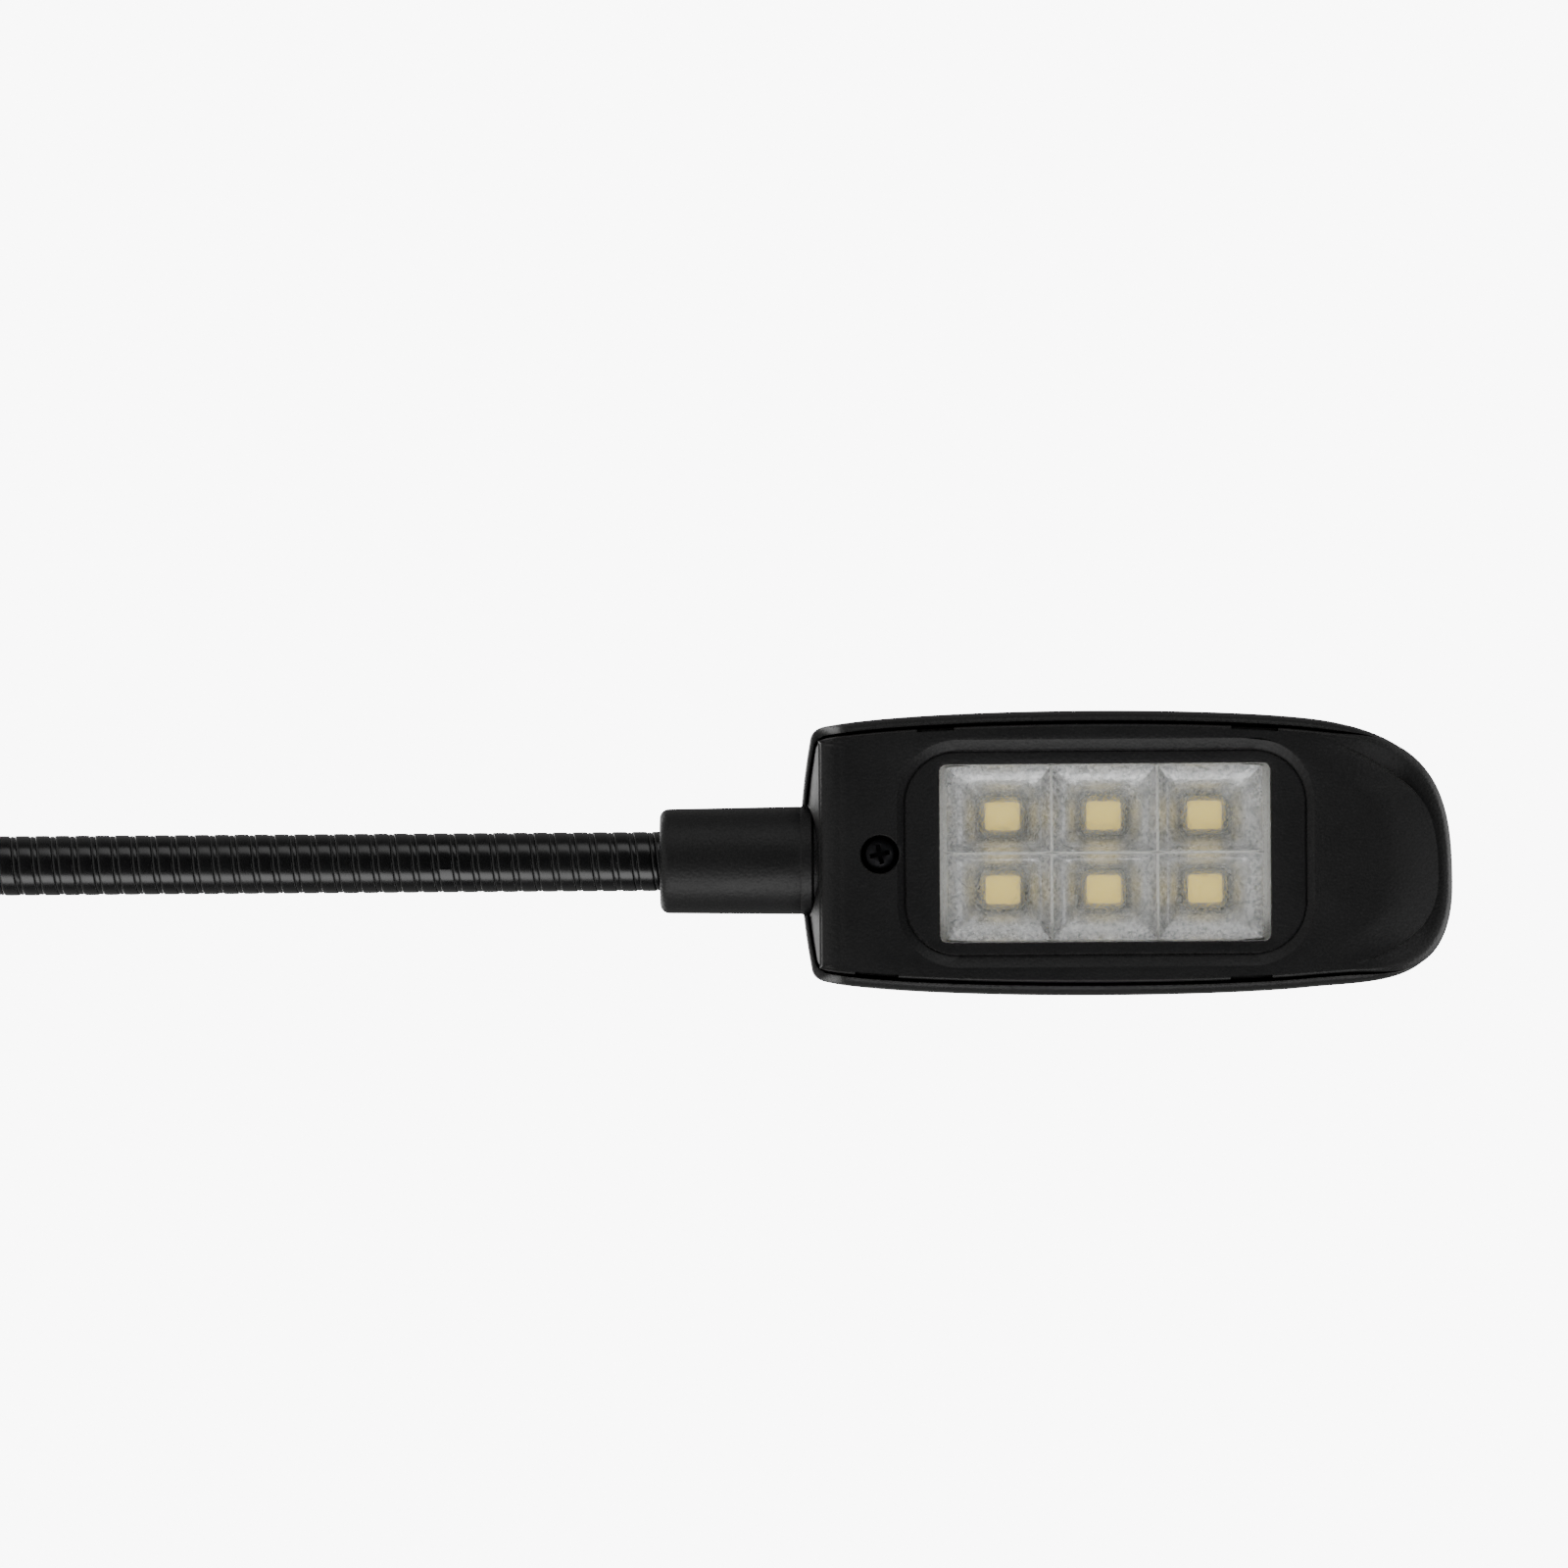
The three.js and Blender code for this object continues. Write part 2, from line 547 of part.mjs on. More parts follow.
const BOARD_Z = BULKHEAD_Z + HOUSING_WALL + 1;
const BUTTON_REAR_Y = ROOM_FRONT_Y + SEAT + BUTTON_FLANGE;
const TACT_Y = BUTTON_REAR_Y + BUTTON_TRAVEL + SLIP;
const BOARD_Y = TACT_Y + TACT_HEIGHT + SEAT;

function controlBoard() {
  const half = BOARD_WIDTH / 2;
  return box(-half, half, BOARD_Y, BOARD_Y + BOARD_THICKNESS, BOARD_Z, BOARD_Z + BOARD_HEIGHT);
}

function tactSwitch() {
  const half = TACT_SIZE / 2;
  const front = TACT_Y + BUTTON_TRAVEL;
  const body = box(-half, half, front, TACT_Y + TACT_HEIGHT, BUTTON_Z - half, BUTTON_Z + half);
  return join(body, barY(TACT_SIZE / 4, TACT_Y, front + OVERLAP, 0, BUTTON_Z, 12));
}

function powerButton() {
  const face = roundedRectangle(BUTTON_WIDTH, BUTTON_HEIGHT, BUTTON_CORNER, 0, BUTTON_Z);
  const [width, height] = [BUTTON_WIDTH + 2 * BUTTON_FLANGE, BUTTON_HEIGHT + 2 * BUTTON_FLANGE];
  const flange = roundedRectangle(width, height, BUTTON_CORNER + BUTTON_FLANGE / 2, 0, BUTTON_Z);
  return join(
    plateY(face, FRONT_Y - BUTTON_PROUD, BUTTON_REAR_Y),
    plateY(flange, ROOM_FRONT_Y + SEAT, BUTTON_REAR_Y),
  );
}

// ---------- Clip ----------

const PLATE_Y = HINGE_Y + EAR_RADIUS + 2 * SLIP; // the side of the lever's plate that faces the pin
const JAW_Y = JAW_GAP + PAD_THICKNESS; // the side of the moving jaw that its pad sits on
const JAW_END_Z = -PAD_HEIGHT / 2 - JAW_NOSE_DROP - JAW_NOSE_RADIUS; // the middle of the resting nose
const NOSE_Y = BACK_Y + SEAT + JAW_NOSE_RADIUS;

function leverPlate() {
  const back = PLATE_Y + LEVER_THICKNESS;
  const jawBack = JAW_Y + LEVER_THICKNESS;
  const side = new THREE.Shape();
  side.moveTo(PLATE_Y + LEVER_LEAN, HINGE_HEIGHT + LEVER_TOP);
  side.lineTo(PLATE_Y, HINGE_HEIGHT);
  side.lineTo(PLATE_Y, HINGE_HEIGHT - JAW_BEND);
  side.quadraticCurveTo(PLATE_Y, HINGE_HEIGHT - 2 * JAW_BEND, JAW_Y, PAD_HEIGHT / 2 + 0.5);
  side.lineTo(JAW_Y, -PAD_HEIGHT / 2 + 0.5);
  side.quadraticCurveTo(JAW_Y - 0.5, JAW_END_Z + 1, NOSE_Y, JAW_END_Z + JAW_NOSE_RADIUS);
  side.absarc(NOSE_Y, JAW_END_Z, JAW_NOSE_RADIUS, Math.PI / 2, 1.5 * Math.PI);
  side.quadraticCurveTo(jawBack, JAW_END_Z - 0.6, jawBack, -PAD_HEIGHT / 2 + 1);
  side.lineTo(jawBack, PAD_HEIGHT / 2);
  side.quadraticCurveTo(back, HINGE_HEIGHT - 2 * JAW_BEND, back, HINGE_HEIGHT - JAW_BEND);
  side.lineTo(back, HINGE_HEIGHT);
  side.lineTo(back + LEVER_LEAN, HINGE_HEIGHT + LEVER_TOP - 0.6);
  return plateX(side, -LEVER_WIDTH / 2, LEVER_WIDTH / 2, 4);
}

function knuckle(x0) {
  const web = new THREE.Shape();
  web.moveTo(HINGE_Y, HINGE_HEIGHT - EAR_RADIUS + SLIP);
  web.lineTo(PLATE_Y + OVERLAP, HINGE_HEIGHT - KNUCKLE_FOOT);
  web.lineTo(PLATE_Y + OVERLAP, HINGE_HEIGHT + KNUCKLE_FOOT - 1);
  web.lineTo(HINGE_Y, HINGE_HEIGHT + EAR_RADIUS - SLIP);
  web.absarc(HINGE_Y, HINGE_HEIGHT, EAR_RADIUS - SLIP, Math.PI / 2, 1.5 * Math.PI);
  return plateX(web, x0, x0 + KNUCKLE_WIDTH);
}

function clipLever() {
  const inner = KNUCKLE_GAP / 2;
  const outer = inner + KNUCKLE_WIDTH;
  const whole = join(leverPlate(), knuckle(inner), knuckle(-outer));
  return cut(whole, barX(PIN_RADIUS + RUN, -outer - BEYOND, outer + BEYOND, HINGE_Y, HINGE_HEIGHT));
}

function movingPad() {
  const [width, height] = [PAD_WIDTH - MOVING_PAD_MARGIN, PAD_HEIGHT - MOVING_PAD_MARGIN / 2];
  return plateY(roundedRectangle(width, height, PAD_CORNER), JAW_GAP, JAW_Y - SEAT);
}

function hingePin() {
  const end = EAR_OUTER_X + PIN_END;
  return barX(PIN_RADIUS, -end, end, HINGE_Y, HINGE_HEIGHT);
}

// A coil round the pin, with one leg on the back of the housing and one on the lever.
function torsionSpring() {
  const half = KNUCKLE_GAP / 2 - SPRING_SIDE;
  const legTop = HINGE_HEIGHT + SPRING_LEG;
  const side = SPRING_WIRE + SLIP;
  const lowLeg = new THREE.Vector3(-half, BACK_Y + side, legTop);
  const highLeg = new THREE.Vector3(half, PLATE_Y - side + SPRING_LEG_OUT, legTop);
  const coilAt = (turn, x) => {
    const [out, up] = [SPRING_RADIUS * Math.cos(turn), SPRING_RADIUS * Math.sin(turn)];
    return new THREE.Vector3(x, HINGE_Y + out, HINGE_HEIGHT + up);
  };
  class Coil extends THREE.Curve {
    getPoint(t, target = new THREE.Vector3()) {
      const turn = Math.PI - t * (SPRING_TURNS * 2 + 1) * Math.PI;
      return target.copy(coilAt(turn, half * (2 * t - 1)));
    }
  }
  const path = new THREE.CurvePath();
  path.add(new THREE.LineCurve3(lowLeg, coilAt(Math.PI, -half)));
  path.add(new Coil());
  path.add(new THREE.LineCurve3(coilAt(0, half), highLeg));
  return wire(path, SPRING_WIRE, 72);
}

// ---------- Neck ----------

const hingeZ = (k) => BASE_COLLAR_TOP + NECK_PITCH * (k - 0.5); // hinge k joins segment k to segment k + 1
const endGap = (radius) => radius * Math.tan((NECK_BEND / 2) * (Math.PI / 180)) + 0.1;

// One segment of the neck. Its hinged ends are cones that meet the next segment's when the hinge is at its
// limit.
function neckSegment(k) {
  const first = k === 1;
  const last = k === NECK_SEGMENTS;
  const bottom = first ? BASE_COLLAR_TOP - NECK_GRIP : hingeZ(k - 1);
  const top = last ? HEAD_COLLAR_Z + NECK_GRIP : hingeZ(k);
  const low = (r) => (first ? bottom : bottom + endGap(r));
  const high = (r) => (last ? top : top - endGap(r));
  const profile = [
    [NECK_BORE, low(NECK_BORE)],
    [NECK_RADIUS, low(NECK_RADIUS)],
    [NECK_RADIUS, high(NECK_RADIUS)],
    [NECK_BORE, high(NECK_BORE)],
  ];
  return turned(profile, 0, NECK_Y, 16);
}

// A sleeve over the end of the neck and its ferrule, as [radius, height above the housing or head].
function collarProfile() {
  const neckHole = NECK_RADIUS + HEAD_FIT;
  const step = COLLAR_LENGTH - NECK_GRIP - SLIP;
  return [
    [FERRULE_RADIUS + SEAT, 0],
    [COLLAR_RADIUS - COLLAR_LIP_EDGE, 0],
    [COLLAR_RADIUS, COLLAR_LIP_EDGE],
    [COLLAR_RADIUS, COLLAR_LIP],
    [COLLAR_MOUTH_RADIUS, COLLAR_LENGTH - COLLAR_MOUTH_EDGE],
    [COLLAR_MOUTH_RADIUS - COLLAR_MOUTH_EDGE, COLLAR_LENGTH],
    [neckHole, COLLAR_LENGTH],
    [neckHole, step],
    [FERRULE_RADIUS + SEAT, step],
  ];
}

const onNeck = (profile) => turned(profile, 0, NECK_Y);
const upwards = (profile, z) => profile.map(([r, h]) => [r, z + h]);
const downwards = (profile, z) => profile.map(([r, h]) => [r, z - h]).reverse();

// The anchor of a neck end: a tube inside the collar with a flange inside the wall, as [radius, height from
// the collar's end next to the wall]. flange is how far inside the wall the flange's near face lies.
function ferruleProfile(flange) {
  const step = COLLAR_LENGTH - NECK_GRIP - 2 * SLIP;
  return [
    [FERRULE_BORE, -flange - FERRULE_FLANGE],
    [FERRULE_FLANGE_RADIUS, -flange - FERRULE_FLANGE],
    [FERRULE_FLANGE_RADIUS, -flange],
    [FERRULE_RADIUS, -flange],
    [FERRULE_RADIUS, step],
    [FERRULE_BORE, step],
  ];
}

const HEAD_FLANGE = FERRULE_SEAT - HEAD_COLLAR_ENTRY;
const HEAD_COLLAR_END = HEAD_Z + HEAD_COLLAR_ENTRY;

// The lead from the control board, up the ferrules and the neck, to the LED board. Its steps are close
// together at its bent ends and far apart in the straight neck.
function neckLead() {
  const boardSide = BOARD_Y + BOARD_THICKNESS + LEAD_RADIUS + 2 * SLIP;
  const ledSide = LED_BOARD_Y + BOARD_THICKNESS + LEAD_RADIUS + 2 * SLIP;
  const low = new THREE.Vector3(0, NECK_Y, BASE_COLLAR_Z - HOUSING_WALL - SLIP - FERRULE_FLANGE);
  const high = new THREE.Vector3(0, NECK_Y, HEAD_COLLAR_END + HEAD_FLANGE + FERRULE_FLANGE);
  const start = new THREE.CatmullRomCurve3([
    new THREE.Vector3(7, boardSide, BOARD_Z + 2),
    new THREE.Vector3(5, boardSide, BOARD_Z + 5),
    new THREE.Vector3(1.4, boardSide, low.z - 3.5),
    low,
  ]);
  const end = new THREE.CatmullRomCurve3([
    high,
    new THREE.Vector3(1.4, NECK_Y + 0.4, high.z + 1.2),
    new THREE.Vector3(4.1, NECK_Y + 2.4, HEAD_SCREW_Z),
    new THREE.Vector3(4, ledSide, HEAD_SCREW_Z + 6),
    new THREE.Vector3(2, ledSide, HEAD_SCREW_Z + 10),
  ]);
  const stretches = [start, new THREE.LineCurve3(low, high), end];
  class Route extends THREE.Curve {
    getUtoTmapping(u) {
      return u;
    }
    getPoint(t, target = new THREE.Vector3()) {
      const place = Math.min(t * stretches.length, stretches.length - 1e-9);
      const stretch = Math.floor(place);
      return target.copy(stretches[stretch].getPoint(place - stretch));
    }
  }
  return wire(new Route(), LEAD_RADIUS, 45, 8);
}

// ---------- Head ----------

// The outline of the head, drawn in by inset: a shallow arc at the neck end, bowed sides and a lopsided
// nose.
function headOutline(inset) {
  const middle = HEAD_LENGTH / 2;
  const across = 1 - inset / HEAD_HALF_WIDTH;
  const along = 1 - inset / middle;
  const point = (x, z) => {
    const wide = (x / DRAWN_HALF_WIDTH) * HEAD_HALF_WIDTH;
    const high = z > NOSE_DRAWN_FROM ? HEAD_LENGTH - (DRAWN_LENGTH - z) : z;
    return [HEAD_SHIFT + wide * across, HEAD_Z + middle + (high - middle) * along];
  };
  const outline = new THREE.Shape();
  outline.moveTo(...point(-13.6, 1.3));
  outline.quadraticCurveTo(...point(0, -1.3), ...point(13.6, 1.3));
  outline.quadraticCurveTo(...point(14.8, 1.6), ...point(15, 3.4));
  outline.bezierCurveTo(...point(17, 15), ...point(17, 48), ...point(15.8, 59.5));
  outline.bezierCurveTo(...point(15.1, 68), ...point(15.6, 76.1), ...point(4, 76.1));
  outline.bezierCurveTo(...point(-6, 76.1), ...point(-13.2, 75), ...point(-15.4, 60));
  outline.bezierCurveTo(...point(-17, 48), ...point(-17, 15), ...point(-15, 3.4));
  outline.quadraticCurveTo(...point(-14.8, 1.6), ...point(-13.6, 1.3));
  return outline;
}

// A body with the head's outline, from front to back: each level is [inset of the outline, y].
function headBody(levels) {
  const rings = levels.map(([inset]) => headOutline(inset).getPoints(OUTLINE_STEPS).slice(1));
  const count = rings[0].length;
  const places = rings.flatMap((ring, i) => ring.flatMap(({ x, y }) => [x, levels[i][1], y]));
  const faces = [];
  for (let ring = 0; ring < rings.length - 1; ring += 1)
    for (let j = 0; j < count; j += 1) {
      const a = ring * count + j;
      const b = ring * count + ((j + 1) % count);
      faces.push(a, a + count, b + count, a, b + count, b);
    }
  const last = (rings.length - 1) * count;
  for (const [a, b, c] of THREE.ShapeUtils.triangulateShape(rings[0], [])) {
    faces.push(a, b, c);
    faces.push(last + a, last + c, last + b);
  }
  const body = new THREE.BufferGeometry();
  body.setAttribute("position", new THREE.Float32BufferAttribute(places, 3));
  body.setIndex(faces);
  return body;
}

// The levels of a quarter round from the side of a body to its face at y. turn is 1 for a face at the back
// and -1 for one at the front, and the levels go from front to back.
function quarterRound(inset, radius, y, turn) {
  const levels = [];
  for (let i = 0; i <= ROUND_STEPS; i += 1) {
    const angle = (i / ROUND_STEPS) * (Math.PI / 2);
    levels.push([inset + radius * (1 - Math.cos(angle)), y - turn * radius * (1 - Math.sin(angle))]);
  }
  return turn > 0 ? levels : levels.reverse();
}

function neckBore(radius, length) {
  const bore = new THREE.CylinderGeometry(radius, radius, length, 24);
  return bore.rotateX(Math.PI / 2).translate(0, NECK_Y, HEAD_Z - BEYOND + length / 2);
}

function backShell() {
  const outside = headBody([[0, RIM_Y], ...quarterRound(0, HEAD_EDGE, HEAD_BACK_Y, 1)]);
  const inner = quarterRound(HEAD_WALL, HEAD_EDGE - HEAD_WALL, HEAD_BACK_Y - HEAD_WALL, 1);
  const inside = headBody([[HEAD_WALL, RIM_Y - BEYOND], ...inner]);
  const root = HEAD_BACK_Y - HEAD_WALL / 2;
  const bossFront = HEAD_SCREW_FLOOR_Y + HEAD_SCREW_FLOOR + SEAT;
  const boss = barY(HEAD_SCREW_HOLE, bossFront, root, HEAD_SHIFT, HEAD_SCREW_Z, 12);
  const boardBack = LED_BOARD_Y + BOARD_THICKNESS + SEAT;
  const postAt = (x) => barY(BOARD_POST_RADIUS, boardBack, root, HEAD_SHIFT + x, WINDOW_Z, 8);
  const whole = join(cut(outside, inside), boss, postAt(-BOARD_POST_X), postAt(BOARD_POST_X));
  const pilotEnd = HEAD_SCREW_FLOOR_Y + HEAD_SCREW_REACH + PILOT_FLOOR;
  const pilot = barY(SCREW_RADIUS + RUN, bossFront - BEYOND, pilotEnd, HEAD_SHIFT, HEAD_SCREW_Z, 10);
  return cut(whole, neckBore(COLLAR_RADIUS + SLIP, HEAD_BORE_LENGTH), pilot);
}

function frontCover() {
  const back = RIM_Y + SKIRT;
  const block = headBody([...quarterRound(COVER_INSET, COVER_EDGE, FACE_Y, -1), [COVER_INSET, back]]);
  const pocketInset = COVER_INSET + COVER_WALL;
  const pocket = headBody([[pocketInset, COVER_INNER_Y], [pocketInset, back + BEYOND]]);
  const bossEnd = HEAD_SCREW_FLOOR_Y + HEAD_SCREW_FLOOR;
  const boss = barY(
    HEAD_SCREW_HOLE + PILLAR_WALL, COVER_INNER_Y - OVERLAP, bossEnd, HEAD_SHIFT, HEAD_SCREW_Z, 14,
  );
  const whole = join(cut(block, pocket), boss);
  const front = FACE_Y - BEYOND;
  const opening = roundedRectangle(WINDOW_WIDTH, WINDOW_LENGTH, WINDOW_CORNER, HEAD_SHIFT, WINDOW_Z);
  const recess = roundedRectangle(BEZEL_WIDTH, BEZEL_LENGTH, BEZEL_CORNER, HEAD_SHIFT, WINDOW_Z);
  return cut(
    whole,
    plateY(opening, front, back, 0, 2),
    plateY(recess, front, FACE_Y + BEZEL_RECESS),
    barY(HEAD_SCREW_HOLE, front, HEAD_SCREW_FLOOR_Y, HEAD_SHIFT, HEAD_SCREW_Z, 20),
    barY(SCREW_RADIUS + SLIP, front, bossEnd + BEYOND, HEAD_SHIFT, HEAD_SCREW_Z, 12),
    neckBore(FERRULE_RADIUS + SLIP, FERRULE_SEAT + 2 * BEYOND),
  );
}

// A block about the middle of the window, with its half sizes across and along the head.
function headBox(x, z, y0, y1) {
  return box(HEAD_SHIFT - x, HEAD_SHIFT + x, y0, y1, WINDOW_Z - z, WINDOW_Z + z);
}

function headScrew() {
  const headFront = HEAD_SCREW_FLOOR_Y - SEAT - SCREW_HEAD_HEIGHT;
  const head = barY(HEAD_SCREW_HEAD, headFront, HEAD_SCREW_FLOOR_Y - SEAT, HEAD_SHIFT, HEAD_SCREW_Z, 16);
  const end = HEAD_SCREW_FLOOR_Y + HEAD_SCREW_REACH;
  return join(head, barY(SCREW_RADIUS, headFront + OVERLAP, end, HEAD_SHIFT, HEAD_SCREW_Z, 10));
}

function lensPanel() {
  const x = WINDOW_WIDTH / 2;
  const z = WINDOW_LENGTH / 2;
  const paneFront = COVER_INNER_Y - LENS_THICKNESS;
  const pane = headBox(x - LENS_PLAY, z - LENS_PLAY, paneFront, COVER_INNER_Y + OVERLAP);
  const reach = LENS_FLANGE_REACH;
  return join(pane, headBox(x + reach, z + reach, COVER_INNER_Y + SEAT, LENS_BACK_Y));
}

// The six cells of the light, as [column, row] counted from the middle.
function lightGrid() {
  const cells = [];
  for (let column = 0; column < CUP_COLUMNS; column += 1)
    for (let row = 0; row < CUP_ROWS; row += 1)
      cells.push([column - (CUP_COLUMNS - 1) / 2, row - (CUP_ROWS - 1) / 2]);
  return cells;
}

function reflectorCup([column, row]) {
  const front = [
    HEAD_SHIFT + row * CUP_PITCH_X,
    WINDOW_Z + column * CUP_PITCH_Z,
    CUP_WIDTH,
    CUP_LENGTH,
  ];
  const back = [
    HEAD_SHIFT + row * LED_PITCH_X,
    WINDOW_Z + column * LED_PITCH_Z,
    LED_WIDTH + 2 * LED_HOLE_MARGIN,
    LED_LENGTH + 2 * LED_HOLE_MARGIN,
  ];
  return taperedBox(front, back, CUP_FRONT_Y - CUP_LIP, CUP_BACK_Y + CUP_LIP);
}

function lightBlock(y0, y1) {
  return headBox(WINDOW_WIDTH / 2 + LIGHT_BLOCK_REACH, WINDOW_LENGTH / 2 + LIGHT_BLOCK_REACH, y0, y1);
}

const reflector = () => cut(lightBlock(CUP_FRONT_Y, CUP_BACK_Y), ...lightGrid().map(reflectorCup));
const ledBoard = () => lightBlock(LED_BOARD_Y, LED_BOARD_Y + BOARD_THICKNESS);

function led([column, row]) {
  const x = HEAD_SHIFT + row * LED_PITCH_X;
  const z = WINDOW_Z + column * LED_PITCH_Z;
  const back = LED_BOARD_Y - SEAT;
  const [across, along] = [LED_WIDTH / 2, LED_LENGTH / 2];
  return box(x - across, x + across, back - LED_HEIGHT, back, z - along, z + along);
}

// ---------- The lamp ----------

add("base_front_housing", frontHousing(), blackPlastic());
add("base_back_housing", backHousing(), blackPlastic());
SCREW_PLACES.forEach(([x, z], i) => add(`housing_screw_${i + 1}`, housingScrew(x, z), blackScrew()));
add("fixed_jaw_pad", fixedPad(), blackRubber());
for (let i = 0; i < CELL_COUNT; i += 1) {
  const x = (i - (CELL_COUNT - 1) / 2) * CELL_PITCH;
  const up = i % 2 ? -1 : 1;
  add(`battery_${i + 1}`, cell(x, up), batteryCan());
  add(`battery_spring_${i + 1}`, cellSpring(x, up), plainSteel());
  add(`contact_plate_${i + 1}`, contactPlate(x, up), plainSteel());
}
add("battery_door", batteryDoor(), blackPlastic());
add("control_board", controlBoard(), boardLaminate());
add("tact_switch", tactSwitch(), blackPlastic());
add("power_button", powerButton(), blackRubber());
add("clip_lever", clipLever(), blackPlastic());
add("moving_jaw_pad", movingPad(), blackRubber());
add("hinge_pin", hingePin(), plainSteel());
add("torsion_spring", torsionSpring(), plainSteel());
add("base_ferrule", onNeck(upwards(ferruleProfile(HOUSING_WALL + SLIP), BASE_COLLAR_Z)), nickelBrass());
add("base_collar", onNeck(upwards(collarProfile(), BASE_COLLAR_Z)), blackPlastic());
for (let k = 1; k <= NECK_SEGMENTS; k += 1) add(`neck_segment_${k}`, neckSegment(k), blackNeck());
add("neck_lead", neckLead(), leadSleeve());
add("head_collar", onNeck(downwards(collarProfile(), HEAD_COLLAR_END)), blackPlastic());
add("head_ferrule", onNeck(downwards(ferruleProfile(HEAD_FLANGE), HEAD_COLLAR_END)), nickelBrass());
add("head_back_shell", backShell(), blackPlastic());
add("head_front_cover", frontCover(), blackPlastic());
add("head_screw", headScrew(), blackScrew());
add("lens_panel", lensPanel(), clearLens());
add("reflector", reflector(), mirrorCoat());
add("led_board", ledBoard(), boardLaminate());
lightGrid().forEach((place, i) => add(`led_${i + 1}`, led(place), phosphor()));

export default lamp;
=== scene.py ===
import json
import math

import bmesh
import bpy
import numpy as np
from mathutils import Euler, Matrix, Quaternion, Vector
from bpy.props import FloatProperty, FloatVectorProperty, IntProperty, PointerProperty

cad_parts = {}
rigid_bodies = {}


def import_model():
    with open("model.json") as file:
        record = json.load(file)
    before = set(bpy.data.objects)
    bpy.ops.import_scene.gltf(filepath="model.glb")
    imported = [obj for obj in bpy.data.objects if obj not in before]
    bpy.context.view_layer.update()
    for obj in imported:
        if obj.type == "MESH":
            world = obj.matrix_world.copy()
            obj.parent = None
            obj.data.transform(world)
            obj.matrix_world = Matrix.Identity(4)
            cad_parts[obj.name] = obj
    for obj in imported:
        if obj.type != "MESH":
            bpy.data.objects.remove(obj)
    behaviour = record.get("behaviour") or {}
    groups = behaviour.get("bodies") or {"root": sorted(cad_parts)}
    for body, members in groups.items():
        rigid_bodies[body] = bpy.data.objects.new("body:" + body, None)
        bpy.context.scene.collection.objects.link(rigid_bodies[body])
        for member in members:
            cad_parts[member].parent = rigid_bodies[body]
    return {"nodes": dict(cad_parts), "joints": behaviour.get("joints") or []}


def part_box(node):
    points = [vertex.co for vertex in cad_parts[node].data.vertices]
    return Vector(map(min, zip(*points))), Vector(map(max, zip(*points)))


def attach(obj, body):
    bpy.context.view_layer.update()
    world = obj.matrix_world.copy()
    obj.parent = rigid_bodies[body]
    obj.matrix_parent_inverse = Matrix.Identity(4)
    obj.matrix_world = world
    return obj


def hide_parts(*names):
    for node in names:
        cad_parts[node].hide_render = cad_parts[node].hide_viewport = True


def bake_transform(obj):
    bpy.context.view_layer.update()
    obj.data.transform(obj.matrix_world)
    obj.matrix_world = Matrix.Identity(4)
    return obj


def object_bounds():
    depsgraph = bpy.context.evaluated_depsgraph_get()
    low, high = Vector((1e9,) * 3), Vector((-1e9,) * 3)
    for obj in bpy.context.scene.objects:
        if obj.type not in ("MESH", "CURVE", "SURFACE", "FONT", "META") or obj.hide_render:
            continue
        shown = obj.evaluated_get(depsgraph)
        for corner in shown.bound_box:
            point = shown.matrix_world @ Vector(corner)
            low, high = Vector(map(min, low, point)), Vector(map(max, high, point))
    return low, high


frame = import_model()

bl_info = {
    "name": "Clip on reading lamp",
    "version": (1, 0, 0),
    "blender": (4, 5, 0),
    "location": "View3D > Sidebar > Lamp",
    "description": "Builds the outer surfaces and finishes of a clip on reading lamp round its packed frame",
    "category": "Object",
}

# A millimetre in metres
MM = 0.001

# The corners of the CAD model's box, before any piece is added
CAD_BOX = [list(corner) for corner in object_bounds()]


def middle(node):
    """The middle of a node's box, in metres."""
    low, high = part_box(node)
    return (np.array(low) + np.array(high)) / 2


def linear(text):
    """An sRGB hex colour as linear red, green and blue."""
    shares = [int(text[i : i + 2], 16) / 255 for i in (0, 2, 4)]
    return tuple(s / 12.92 if s <= 0.04045 else ((s + 0.055) / 1.055) ** 2.4 for s in shares)


# Places that the frame gives, in metres
NECK_AXIS = middle("head_collar")[:2]
SHELL_LOW, SHELL_HIGH = (np.array(corner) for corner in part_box("head_back_shell"))
FACE_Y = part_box("head_front_cover")[0][1]
HEAD_SCREW = middle("head_screw")
HEAD_ORIGIN = np.array([HEAD_SCREW[0], FACE_Y, SHELL_LOW[2]])
WINDOW = middle("lens_panel") - HEAD_ORIGIN
HEAD_COLLAR_LOW, HEAD_COLLAR_HIGH = (corner[2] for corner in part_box("head_collar"))
BASE_COLLAR_LOW, BASE_COLLAR_HIGH = (corner[2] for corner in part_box("base_collar"))

# The neck's hinges, from the lowest up
NECK_JOINTS = [joint for joint in frame["joints"] if joint["name"].startswith("neck_")]
NECK_JOINTS.sort(key=lambda joint: joint["pos_m"][2])

# The radius in mm at which a turned profile that closes on its axis ends
NEAR_AXIS = 0.0001

# The cell that stands with its nub down
FLIPPED_CELL = 2


# ---------- Sizes and colours ----------


